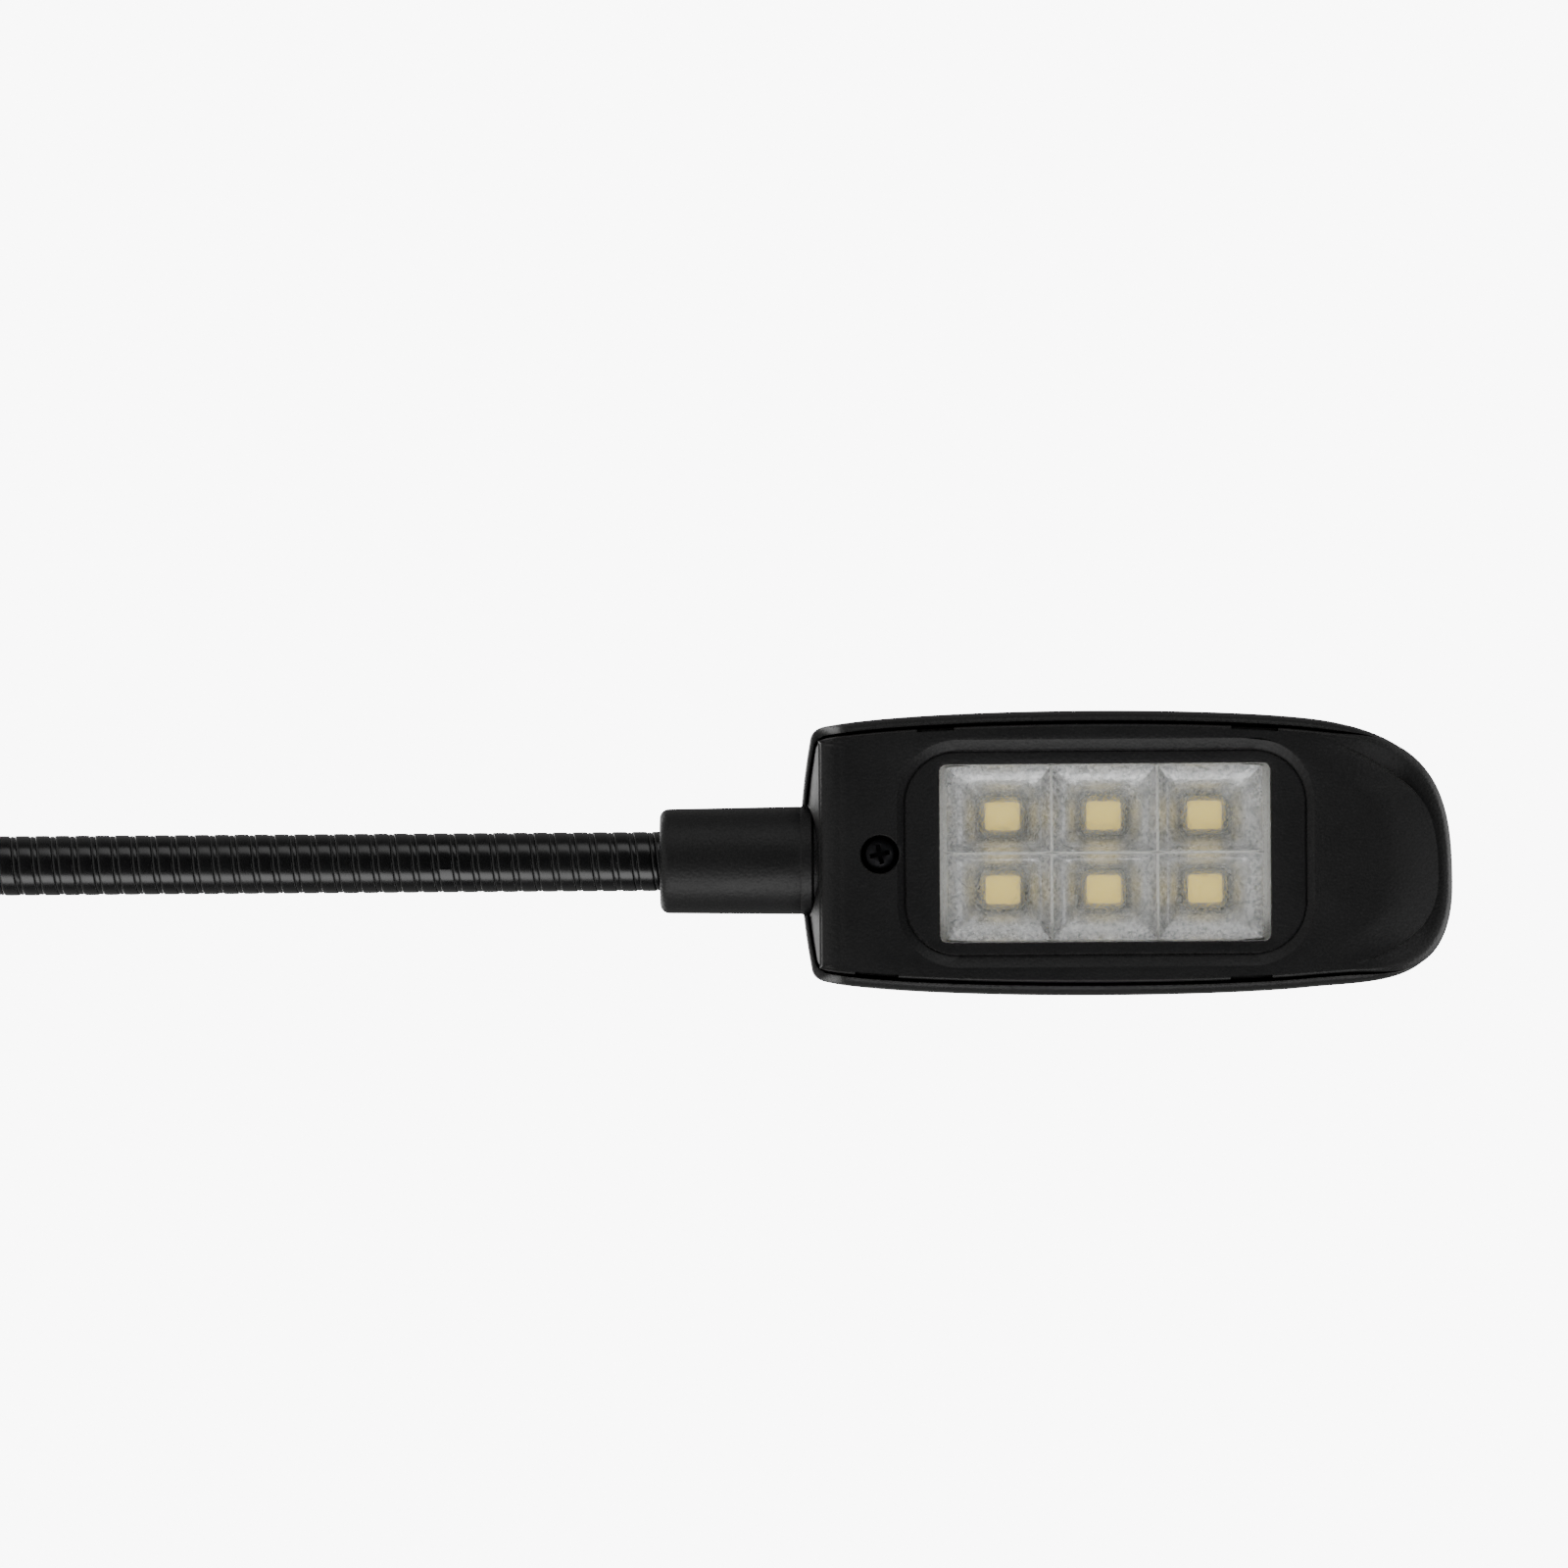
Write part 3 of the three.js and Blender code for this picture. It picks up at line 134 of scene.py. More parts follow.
class HeadSizes(bpy.types.PropertyGroup):
    """Sizes of the head's two mouldings"""

    seam: FloatProperty(
        name="Seam", description="Width of the gap between cover and shell", default=0.4 * MM, unit="LENGTH"
    )
    rim: FloatProperty(
        name="Rim", description="Width of the shell's rim round the cover", default=1.15 * MM, unit="LENGTH"
    )
    ledge: FloatProperty(
        name="Ledge", description="Drop of the ledge at the nose", default=2.6 * MM, unit="LENGTH"
    )
    slope: FloatProperty(
        name="Bezel depth", description="Depth of the panel inside the bezel",
        default=0.5 * MM, unit="LENGTH",
    )
    screw_hole: FloatProperty(
        name="Screw hole", description="Radius of the screw's recess", default=2.25 * MM, unit="LENGTH"
    )
    plastic: FloatVectorProperty(
        name="Plastic", description="Moulded plastic of head and base",
        subtype="COLOR", default=linear("0a0a0b"),
    )


class NeckSizes(bpy.types.PropertyGroup):
    """Sizes of the neck's two wires"""

    pitch: FloatProperty(
        name="Pitch", description="Rise of one turn of wire", default=2.33 * MM, unit="LENGTH"
    )
    band: FloatProperty(
        name="Band", description="Width of the wedge wire's outer face", default=1.66 * MM, unit="LENGTH"
    )
    core: FloatProperty(name="Core", description="Radius of the round wire", default=0.72 * MM, unit="LENGTH")
    turn_steps: IntProperty(
        name="Turn steps", description="Sections to each turn of wire", default=30, min=12
    )
    wire: FloatVectorProperty(
        name="Wire", description="Coating of the wires", subtype="COLOR", default=linear("0b0b0c")
    )


class BaseSizes(bpy.types.PropertyGroup):
    """Sizes of the clip base's small shapes"""

    edge: FloatProperty(name="Edge", description="Rounding of small edges", default=0.3 * MM, unit="LENGTH")
    rib_pitch: FloatProperty(
        name="Rib pitch", description="Distance between two ribs of a pad", default=2.0 * MM, unit="LENGTH"
    )
    rubber: FloatVectorProperty(
        name="Rubber", description="Rubber of pads and button", subtype="COLOR", default=linear("101011")
    )


class StageSizes(bpy.types.PropertyGroup):
    """The camera's place and the floor"""

    lens: FloatProperty(name="Lens", description="Focal length of the camera, in mm", default=200.0)
    width: FloatProperty(
        name="Width", description="Width of the view at the neck", default=182.6 * MM, unit="LENGTH"
    )
    roll: FloatProperty(
        name="Roll", description="Turn of the camera from level", default=math.radians(89.6),
        subtype="ANGLE",
    )
    key: FloatProperty(
        name="Key", description="Radiance of the large soft box and, weakened, of the far one", default=4.2
    )
    rear: FloatProperty(
        name="Rear", description="Radiance of the soft box behind and, weakened, of the one over it",
        default=3.6,
    )
    fill: FloatProperty(name="Fill", description="Radiance of the soft box across from it", default=1.9)
    floor: FloatVectorProperty(
        name="Floor", description="Floor and backdrop", subtype="COLOR", default=linear("f2f2f0")
    )


def sizes(group):
    """A group of this scene's sizes."""
    return getattr(bpy.context.scene, "lamp_" + group)


# ---------- Meshes from arrays ----------


def smooth(t):
    """Rises from 0 to 1 as t does, and is flat at both ends."""
    t = np.clip(t, 0, 1)
    return t * t * (3 - 2 * t)


def quads(rows, columns, wrap_rows):
    """The corners of each face of a grid of points: (i, j), (i, j + 1), (i + 1, j + 1) and (i + 1, j). The
    last column joins the first, and so does the last row if wrap_rows."""
    i = np.arange(rows if wrap_rows else rows - 1)[:, None]
    j = np.arange(columns)[None, :]
    below, across = (i + 1) % rows, (j + 1) % columns
    corners = (i * columns + j, i * columns + across, below * columns + across, below * columns + j)
    return np.stack(np.broadcast_arrays(*corners), -1).reshape(-1, 4)


class Skin:
    """Points and faces gathered from several grids, in metres."""

    def __init__(self):
        self.points, self.faces, self.count = [], [], 0

    def grid(self, points, wrap_rows=False, ends=True):
        """Adds a grid of rows x columns points, with a face over its first and its last row if ends."""
        rows, columns = points.shape[:2]
        self.faces += (quads(rows, columns, wrap_rows) + self.count).tolist()
        if ends and not wrap_rows:
            self.faces.append(list(range(self.count, self.count + columns))[::-1])
            last = self.count + (rows - 1) * columns
            self.faces.append(list(range(last, last + columns)))
        self.points.append(points.reshape(-1, 3))
        self.count += rows * columns

    def piece(self, name, sharp=35.0):
        """A mesh object of these faces, pointing outwards, smooth but for edges bent by more than sharp
        degrees."""
        mesh = bpy.data.meshes.new(name)
        mesh.from_pydata(np.concatenate(self.points).tolist(), [], self.faces)
        return finished(name, mesh, sharp)


def finished(name, mesh, sharp):
    """Merges a mesh's doubles, turns its faces outwards, shades it and puts it in the scene."""
    work = bmesh.new()
    work.from_mesh(mesh)
    bmesh.ops.remove_doubles(work, verts=work.verts, dist=1e-7)
    bmesh.ops.dissolve_degenerate(work, edges=work.edges, dist=1e-8)
    bmesh.ops.recalc_face_normals(work, faces=work.faces)
    work.to_mesh(mesh)
    work.free()
    mesh.shade_smooth()
    mesh.set_sharp_from_angle(angle=math.radians(sharp))
    piece = bpy.data.objects.new(name, mesh)
    bpy.context.scene.collection.objects.link(piece)
    return piece


def turned(profile, centre, axis="z", steps=96):
    """A profile of (radius, height) points carried round an axis: (r cos a, r sin a, h)."""
    profile = np.array(profile, float)
    turn = np.linspace(0, 2 * math.pi, steps, endpoint=False)
    radius, height = profile[:, :1], profile[:, 1:]
    flat = (radius * np.cos(turn), radius * np.sin(turn), height + 0 * turn)
    order = {"z": (0, 1, 2), "y": (1, 2, 0), "x": (2, 0, 1)}[axis]
    return np.stack([flat[i] for i in order], -1) + np.array(centre)


def lathe(name, profile, centre, axis="z", steps=96, closed=True, sharp=35.0):
    """A turned piece. A closed profile makes a ring, and an open one is capped at both ends."""
    skin = Skin()
    skin.grid(turned(profile, centre, axis, steps), wrap_rows=closed)
    return skin.piece(name, sharp)


def combined(piece, others, operation, sharp):
    """Joins other pieces to a piece or cuts them out of it, and deletes them."""
    for other in others:
        step = piece.modifiers.new("step", "BOOLEAN")
        step.object, step.operation, step.solver = other, operation, "MANIFOLD"
    return applied(piece, others, sharp)


def carve(piece, *cutters, sharp=35.0):
    """Cuts the cutters out of a piece."""
    return combined(piece, cutters, "DIFFERENCE", sharp)


def joined(piece, *others, sharp=35.0):
    """Joins other pieces to a piece."""
    return combined(piece, others, "UNION", sharp)


def applied(piece, spare=(), sharp=35.0):
    """Applies a piece's modifiers, and deletes the spare objects that they used."""
    view = bpy.context.evaluated_depsgraph_get()
    mesh = bpy.data.meshes.new_from_object(piece.evaluated_get(view))
    piece.modifiers.clear()
    old, piece.data = piece.data, mesh
    bpy.data.meshes.remove(old)
    for other in spare:
        bpy.data.objects.remove(other)
    mesh.shade_smooth()
    mesh.set_sharp_from_angle(angle=math.radians(sharp))
    return piece


def quarter(start, end, steps, round_start=True):
    """Steps along a quarter ellipse from start to end, both (inset, depth). It leaves start along the depth
    and reaches end along the inset, or the other way round."""
    turn = np.linspace(0, math.pi / 2, steps)
    slow, fast = 1 - np.cos(turn), np.sin(turn)
    shares = np.stack((slow, fast) if round_start else (fast, slow), -1)
    return np.array(start) + shares * (np.array(end) - np.array(start))


def line(start, end, steps):
    """Even steps from start to end."""
    return np.linspace(start, end, steps)


# ---------- Head ----------

# The head's outline in mm from the middle of its neck end: the control points of its Bezier curves
HEAD_HALF_WIDTH = 16.6
HEAD_LENGTH = 76.1
OUTLINE_CURVES = (
    ((-13.6, 1.3), (0, -1.3), (13.6, 1.3)),
    ((13.6, 1.3), (14.8, 1.6), (15, 3.4)),
    ((15, 3.4), (17, 15), (17, 48), (15.8, 59.5)),
    ((15.8, 59.5), (15.1, 68), (15.6, 76.1), (4, 76.1)),
    ((4, 76.1), (-6, 76.1), (-13.2, 75), (-15.4, 60)),
    ((-15.4, 60), (-17, 48), (-17, 15), (-15, 3.4)),
    ((-15, 3.4), (-14.8, 1.6), (-13.6, 1.3)),
)
OUTLINE_STEPS = (64, 14, 96, 64, 72, 96, 14)

# The power that makes the nose's form fade in late from the sides
NOSE_FADE = 2.2


def bezier(points, steps):
    """Points of a Bezier curve of any degree by its Bernstein sum, without the last one."""
    t = np.arange(steps)[:, None] / steps
    degree = len(points) - 1
    return sum(
        math.comb(degree, i) * t**i * (1 - t) ** (degree - i) * np.array(point, float)
        for i, point in enumerate(points)
    )


def head_outline(straight):
    """The head's outline in mm, across and along, from its neck end. The arc of the neck end is flattened
    by straight, from 0 to 1."""
    bent = [[(x, z if z > 3.5 else z * (1 - straight)) for x, z in curve] for curve in OUTLINE_CURVES]
    return np.concatenate([bezier(curve, steps) for curve, steps in zip(bent, OUTLINE_STEPS)])


HEAD_OUTLINE = head_outline(0)


def nose_weight():
    """1 round the nose and 0 along the sides. It rises later on the tight side of the nose than on the
    swept side."""
    x, z = HEAD_OUTLINE.T
    low = np.where(x > 0, 63.0, 60.0)
    high = np.where(x > 0, 75.4, 72.5)
    return smooth((z - low) / (high - low))


def end_weight():
    """1 along the neck end and 0 along the sides."""
    return 1 - smooth((HEAD_OUTLINE[:, 1] - 1.9) / 3.2)


def head_loop(row):
    """One loop of the head. row is a pair (inset, depth) for the sides, a triple (inset, depth, straight)
    for the neck end and a triple (inset, depth, inset of its flanks) for the nose. The outline is drawn in
    by the inset and lies at the depth that the three weights blend."""
    (side, side_y), (end, end_y, straight), (nose, nose_y, flank) = row
    x, z = head_outline(straight).T
    at_nose, at_end = nose_weight(), end_weight()
    inset = side + (flank - side) * at_nose
    across = x * (1 - inset / HEAD_HALF_WIDTH)
    share = z / HEAD_LENGTH
    along = z + end * (1 - share) - nose * share
    depth = side_y + (end_y - side_y) * at_end + (nose_y - side_y) * at_nose ** NOSE_FADE
    return np.stack([across, depth, along], -1)


def rows_of(sides, ends, noses):
    """The rows of head_loop from three profiles of one length."""
    return [(tuple(s), tuple(e), tuple(n)) for s, e, n in zip(sides, ends, noses)]


def with_third(pairs, third):
    """Pairs with a third number that runs evenly from its first value to its last."""
    return np.column_stack([pairs, np.linspace(*third, len(pairs))])


def flat_cross(p, q):
    """The cross product of flat vectors, row by row."""
    return p[:, 0] * q[:, 1] - p[:, 1] * q[:, 0]


def rounded_loop(half_width, half_length, corner, angles):
    """The points of a rounded rectangle that lie at the given angles from its middle, across and along."""
    turn = np.linspace(0, math.pi / 2, 24)
    arc = np.stack([np.cos(turn), np.sin(turn)], -1) * corner
    inner = np.array([half_width - corner, half_length - corner])
    first = arc + inner
    dense = np.concatenate([first, first[::-1] * [-1, 1], -first, first[::-1] * [1, -1]])
    reach = np.arctan2(dense[:, 1], dense[:, 0])
    order = np.argsort(reach)
    dense, reach = dense[order], reach[order]
    ring = np.concatenate([dense[-1:], dense, dense[:1]])
    spots = np.concatenate([reach[-1:] - 2 * math.pi, reach, reach[:1] + 2 * math.pi])
    found = np.clip(np.searchsorted(spots, angles) - 1, 0, len(spots) - 2)
    a, b = ring[found], ring[found + 1]
    way = np.stack([np.cos(angles), np.sin(angles)], -1)
    return way * (flat_cross(a, b - a) / flat_cross(way, b - a))[:, None]


def head_points(loops):
    """Loops in mm from the head's origin as points in metres."""
    return np.stack(loops) * MM + HEAD_ORIGIN


def cover_rows():
    """The outer side of the cover, from the foot of its skirt, up the seam and over the edge to the face.
    Round the nose it rolls in to a narrow ledge and climbs from a crease to the face. At the neck end it is
    a slanted wall, a crisp edge and a rounded band."""
    head = sizes("head")
    lip = (head.rim + head.seam) / MM
    drop = head.ledge / MM
    sides = np.concatenate([
        line((lip + 0.35, 3.2), (lip, 0.5), 4),
        quarter((lip, 0.42), (lip + 0.34, 0.0), 8),
        line((lip + 0.4, 0.0), (lip + 0.6, 0.0), 4),
        line((lip + 0.64, 0.0), (lip + 1.0, 0.0), 14),
        line((lip + 1.05, 0.0), (lip + 1.12, 0.0), 2),
    ])
    ends = np.concatenate([
        with_third(line((1.3, 7.0), (0.72, 5.8), 4), (0.1, 0.1)),
        with_third(line((0.74, 5.6), (2.14, 1.36), 8), (0.1, 0.9)),
        with_third(line((2.18, 1.26), (2.36, 1.06), 4), (1, 1)),
        with_third(quarter((2.4, 1.0), (4.72, 0.03), 14), (1, 1)),
        with_third(line((4.82, 0.0), (5.5, 0.0), 2), (1, 1)),
    ])
    climb = np.linspace(0, 1, 14)
    belly = np.column_stack([1.9 + 6.1 * climb, (drop - 0.9) * (1 - climb) ** 1.5])
    noses = np.concatenate([
        with_third(line((1.2, 7.4), (0.08, 6.1), 4), (1.2, 0.08)),
        with_third(quarter((0.0, 5.3), (1.15, drop + 0.05), 8), (0.0, 1.5)),
        with_third(line((1.22, drop + 0.03), (1.86, drop), 4), (1.7, 4.1)),
        with_third(belly, (4.2, 5.6)),
        with_third(line((8.3, 0.0), (8.8, 0.0), 2), (5.7, 5.8)),
    ])
    return rows_of(sides, ends, noses)


def bezel_loops(angles):
    """The loops from the bezel's outer edge to the window and through it: a crisp edge, a slope down to a
    fine groove, a flat panel and the window's wall. Each is a rounded rectangle at the same angles from the
    window's middle."""
    deep = sizes("head").slope / MM
    wall = 1.6
    forms = [
        (13.25, 24.3, 7.2, 0.0),
        (13.2, 24.25, 7.2, 0.02),
        (13.1, 24.2, 7.1, 0.09),
        (12.1, 23.55, 6.3, deep - 0.1),
        (11.95, 23.42, 6.2, deep + 0.1),
        (11.85, 23.35, 6.1, deep + 0.18),
        (11.75, 23.25, 6.0, deep + 0.1),
        (11.65, 23.15, 5.9, deep),
        (10.5, 19.4, 0.95, deep),
        (10.38, 19.28, 0.85, deep + 0.05),
        (10.35, 19.25, 0.8, deep + 0.15),
        (10.35, 19.25, 0.8, wall),
    ]
    loops = []
    for half_width, half_length, corner, depth in forms:
        flat = rounded_loop(half_width, half_length, corner, angles) + WINDOW[[0, 2]] / MM
        loops.append(np.column_stack([flat[:, 0], np.full(len(flat), depth), flat[:, 1]]))
    return loops


def front_cover():
    """The head's front: a closed ring of loops from the seam over the face, through the window and back
    behind."""
    loops = [head_loop(row) for row in cover_rows()]
    from_middle = loops[-1][:, [0, 2]] - WINDOW[[0, 2]] / MM
    loops += bezel_loops(np.arctan2(from_middle[:, 1], from_middle[:, 0]))
    loops.append(head_loop(((3.3, 1.6), (6.0, 1.6, 1), (9.5, 1.6, 6.0))))
    loops.append(head_loop(((2.9, 2.2), (4.0, 3.0, 1), (5.0, 4.0, 4.0))))
    loops.append(head_loop(((2.5, 3.2), (2.4, 7.0, 0.5), (2.2, 7.4, 2.2))))
    skin = Skin()
    skin.grid(head_points(loops), wrap_rows=True)
    cover = joined(skin.piece("front_cover"), screw_boss())
    return carve(cover, screw_recess(sizes("head").screw_hole), collar_recess(), *seam_slots())


def screw_boss():
    """The boss behind the cover that the screw's head sits in."""
    radius, foot = 3.15 * MM, HEAD_SCREW[1] - FACE_Y
    profile = [(0.0, 1 * MM), (radius, 1 * MM), (radius, foot), (0.0, foot)]
    centre = (HEAD_SCREW[0], FACE_Y, HEAD_SCREW[2])
    return lathe("screw_boss", profile, centre, axis="y", steps=48, closed=False)


def screw_recess(radius):
    """A cutter for the screw's recess: a straight hole with a small flare at the face and a hole for the
    shank."""
    depth = HEAD_SCREW[1] - FACE_Y
    shank, below = 0.95 * MM, depth + 4 * MM
    profile = [(0.0, -1 * MM), (radius + 1.2 * MM, -1 * MM), (radius + 0.14 * MM, -0.02 * MM)]
    profile += [(radius, 0.12 * MM), (radius, 2 * MM), (shank, 2 * MM), (shank, below), (0.0, below)]
    centre = (HEAD_SCREW[0], FACE_Y, HEAD_SCREW[2])
    return lathe("screw_recess", profile, centre, axis="y", steps=64, closed=False)


def collar_recess():
    """A cutter for the hole that the collar enters and the narrower one that the lead goes through."""
    radius = (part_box("head_collar")[1][0] - NECK_AXIS[0]) + 0.4 * MM
    bore, low, step, high = 4.6 * MM, -4 * MM, 2.05 * MM, 3.4 * MM
    profile = [(0.0, low), (radius, low), (radius, step), (bore, step), (bore, high), (0.0, high)]
    return lathe("collar_recess", profile, (*NECK_AXIS, HEAD_ORIGIN[2]), steps=96, closed=False)


def seam_slots():
    """Cutters for the short notches that widen the seam, where the cover's catches lie."""
    # Each notch's side, and where it starts and stops along the head, in mm
    notches = ((-1, 13.5, 18.2), (-1, 49.7, 56.1), (1, 6.0, 11.5), (1, 49.7, 55.2))
    inner_inset, outer_inset, low, high = 1.95, 1.3, -0.5, 1.2
    along = HEAD_OUTLINE[:, 1]
    cutters = []
    for number, (side, start, stop) in enumerate(notches):
        inside = (along > start) & (along < stop) & (np.sign(HEAD_OUTLINE[:, 0]) == side)
        run = HEAD_OUTLINE[inside]
        inner = run * [1 - inner_inset / HEAD_HALF_WIDTH, 1]
        outer = run * [1 - outer_inset / HEAD_HALF_WIDTH, 1]
        corners = [(inner, low), (outer, low), (outer, high), (inner, high)]
        columns = [
            np.column_stack([flat[:, 0], np.full(len(flat), depth), flat[:, 1]]) for flat, depth in corners
        ]
        skin = Skin()
        skin.grid(np.stack(columns, 1) * MM + HEAD_ORIGIN)
        cutters.append(skin.piece(f"slot_{number}"))
    return cutters


def shell_rows():
    """The outer side of the back shell, from inside the seam over its rim to the middle of its back."""
    rim = sizes("head").rim / MM
    back = (SHELL_HIGH[1] - FACE_Y) / MM
    middle_in = np.linspace(0, 1, 12)[1:]
    crown = back - 0.35 * (1 - middle_in) ** 2
    corner = ((0.0, 11.3), (4.4, back - 0.36))
    across = 4.4 + (HEAD_HALF_WIDTH - 4.4) * middle_in
    along = 4.4 + (HEAD_LENGTH / 2 - 4.4) * middle_in
    sides = np.concatenate([
        line((rim + 0.3, 2.8), (rim + 0.02, 0.8), 3),
        quarter((rim, 0.5), (0.0, 3.0), 10, round_start=False),
        line((0.0, 6.0), (0.0, 11.0), 3),
        quarter(*corner, 12),
        np.column_stack([across, crown]),
    ])
    ends = np.concatenate([
        with_third(line((0.66, 7.6), (0.4, 6.1), 3), (0.1, 0.1)),
        with_third(quarter((0.38, 5.85), (0.0, 6.9), 10, round_start=False), (0, 0)),
        with_third(line((0.0, 8.0), (0.0, 11.0), 3), (0, 0)),
        with_third(quarter(*corner, 12), (0, 0)),
        with_third(np.column_stack([along, crown]), (0, 1)),
    ])
    noses = np.concatenate([
        with_third(line((0.6, 8.2), (0.1, 6.8), 3), (0.6, 0.1)),
        with_third(quarter((0.08, 6.6), (0.0, 7.4), 10, round_start=False), (0.08, 0.0)),
        with_third(line((0.0, 8.5), (0.0, 11.0), 3), (0, 0)),
        with_third(quarter(*corner, 12), (0, 4.4)),
        np.column_stack([along, crown, across]),
    ])
    return rows_of(sides, ends, noses)


def shell_inside_rows():
    """The inner side of the back shell, from the middle of its back to the foot of the seam."""
    back = (SHELL_HIGH[1] - FACE_Y) / MM - 1.4
    middle_out = np.linspace(1, 0, 8)
    sides = np.concatenate([
        np.column_stack([4.6 + (HEAD_HALF_WIDTH - 4.6) * middle_out, np.full(len(middle_out), back)]),
        quarter((4.4, back), (1.5, 11.0), 6, round_start=False),
        line((1.5, 9.0), (1.6, 3.4), 3),
    ])
    ends = sides.copy()
    ends[: len(middle_out), 0] = 4.6 + (HEAD_LENGTH / 2 - 4.6) * middle_out
    ends[-1] = (1.5, 8.0)
    noses = ends.copy()
    noses[-1] = (1.5, 8.6)
    return rows_of(sides, with_third(ends, (1, 0)), np.column_stack([noses, sides[:, 0]]))


def back_shell():
    """The head's back: a bowl of loops from the middle of its inside, over the rim, to the middle of its
    back."""
    loops = [head_loop(row) for row in shell_inside_rows() + shell_rows()]
    skin = Skin()
    skin.grid(head_points(loops), ends=False)
    return carve(skin.piece("back_shell"), collar_recess())


def collar_profile(low_is_mouth):
    """The half section of a collar, as (radius, height): a tapered sleeve with a rounded mouth, a fine
    groove and a lip ring at the end next to the housing or head, where a spigot goes on inside."""
    mouth, foot, length, spigot = 6.1, 6.35, 18.0, 1.5
    bore, lip_bore, rounding = 3.62, 5.4, 1.1
    turn = np.linspace(0, math.pi / 2, 10)
    taper = mouth + (foot - mouth) * 0.75
    profile = [(bore, 0.35), (3.75, 0.1)]
    profile += [(mouth - rounding + rounding * math.sin(a), rounding - rounding * math.cos(a)) for a in turn]
    profile += [(mouth + (taper - mouth) * t, rounding + t * (14.9 - rounding)) for t in (0.25, 0.5, 0.75, 1)]
    profile += [(taper + 0.02, 16.3), (taper - 0.02, 16.42), (taper + 0.03, 16.52)]
    profile += [(foot - 0.03, 16.6), (foot, 16.75), (foot, 17.7), (foot - 0.22, 17.93)]
    profile += [(foot - 0.4, length), (foot - 0.4, length + spigot), (lip_bore, length + spigot)]
    profile += [(lip_bore, length - 0.3), (4.3, length - 0.3), (4.3, 11.8), (bore, 11.6)]
    if not low_is_mouth:
        profile = [(radius, length - height) for radius, height in profile]
    return np.array(profile) * MM


def cross_screw(name, centre, radius, height, turn, towards):
    """A pan head screw with a cross recess. towards is -1 if its head faces -Y and 1 if it faces +Y."""
    steps = np.linspace(0, math.pi / 2, 7)
    bead = 0.3 * radius
    profile = [(0.0, -height - 0.16 * radius), (0.45 * radius, -height - 0.13 * radius)]
    profile += [(radius - bead + bead * math.sin(a), -height + bead - bead * math.cos(a)) for a in steps]
    profile += [(radius, 0.0), (0.0, 0.0)]
    screw = lathe(name, [(r, -towards * h) for r, h in profile], centre, axis="y", steps=48, closed=False)
    half, long, deep = 0.13 * radius, 0.62 * radius, 0.75 * height
    corners = ((1, 1), (-1, 1), (-1, -1), (1, -1))
    cutters = []
    for quarter_turn in (0, 1):
        angle = turn + quarter_turn * math.pi / 2
        along = np.array([math.cos(angle), 0, math.sin(angle)])
        across = np.array([-math.sin(angle), 0, math.cos(angle)])
        top = np.array(centre) + np.array([0, towards * (height + 0.3 * radius), 0])
        floor = np.array(centre) + np.array([0, towards * (height - deep), 0])
        rows = [
            [spot + along * share * long * u + across * half * v for u, v in corners]
            for spot, share in ((top, 1.15), (floor, 0.55))
        ]
        skin = Skin()
        skin.grid(np.array(rows))
        cutters.append(skin.piece(f"{name}_cutter_{quarter_turn}"))
    return carve(screw, *cutters)


# ---------- Light ----------

# In mm: from the screw's line to a cup's middle, from cup to cup and from light to light along the head,
# and the hairline that keeps the closed surfaces of the cups and their frame apart
CUP_OFFSET, CUP_PITCH, LED_PITCH, HAIRLINE = 5.15, 12.35, 11.8, 0.002


def ring_loop(half_x, half_z, corner, centre, depth, count=64):
    """A rounded rectangle round a centre at a depth, as points in metres."""
    angles = np.linspace(-math.pi, math.pi, count, endpoint=False)
    flat = rounded_loop(half_x, half_z, corner, angles)
    return np.column_stack([flat[:, 0] + centre[0], np.full(count, depth), flat[:, 1] + centre[1]])


def cup_places():
    """For each light: the middle of its cup's mouth and its own middle, across and along, in metres."""
    window = middle("lens_panel")[2]
    cups = []
    for number in range(1, 7):
        light = middle(f"led_{number}")[[0, 2]]
        row = np.sign(light[0] - HEAD_SCREW[0])
        column = round((light[1] - window) / (LED_PITCH * MM))
        mouth = np.array([HEAD_SCREW[0] + row * CUP_OFFSET * MM, window + column * CUP_PITCH * MM])
        cups.append((mouth, light))
    return cups


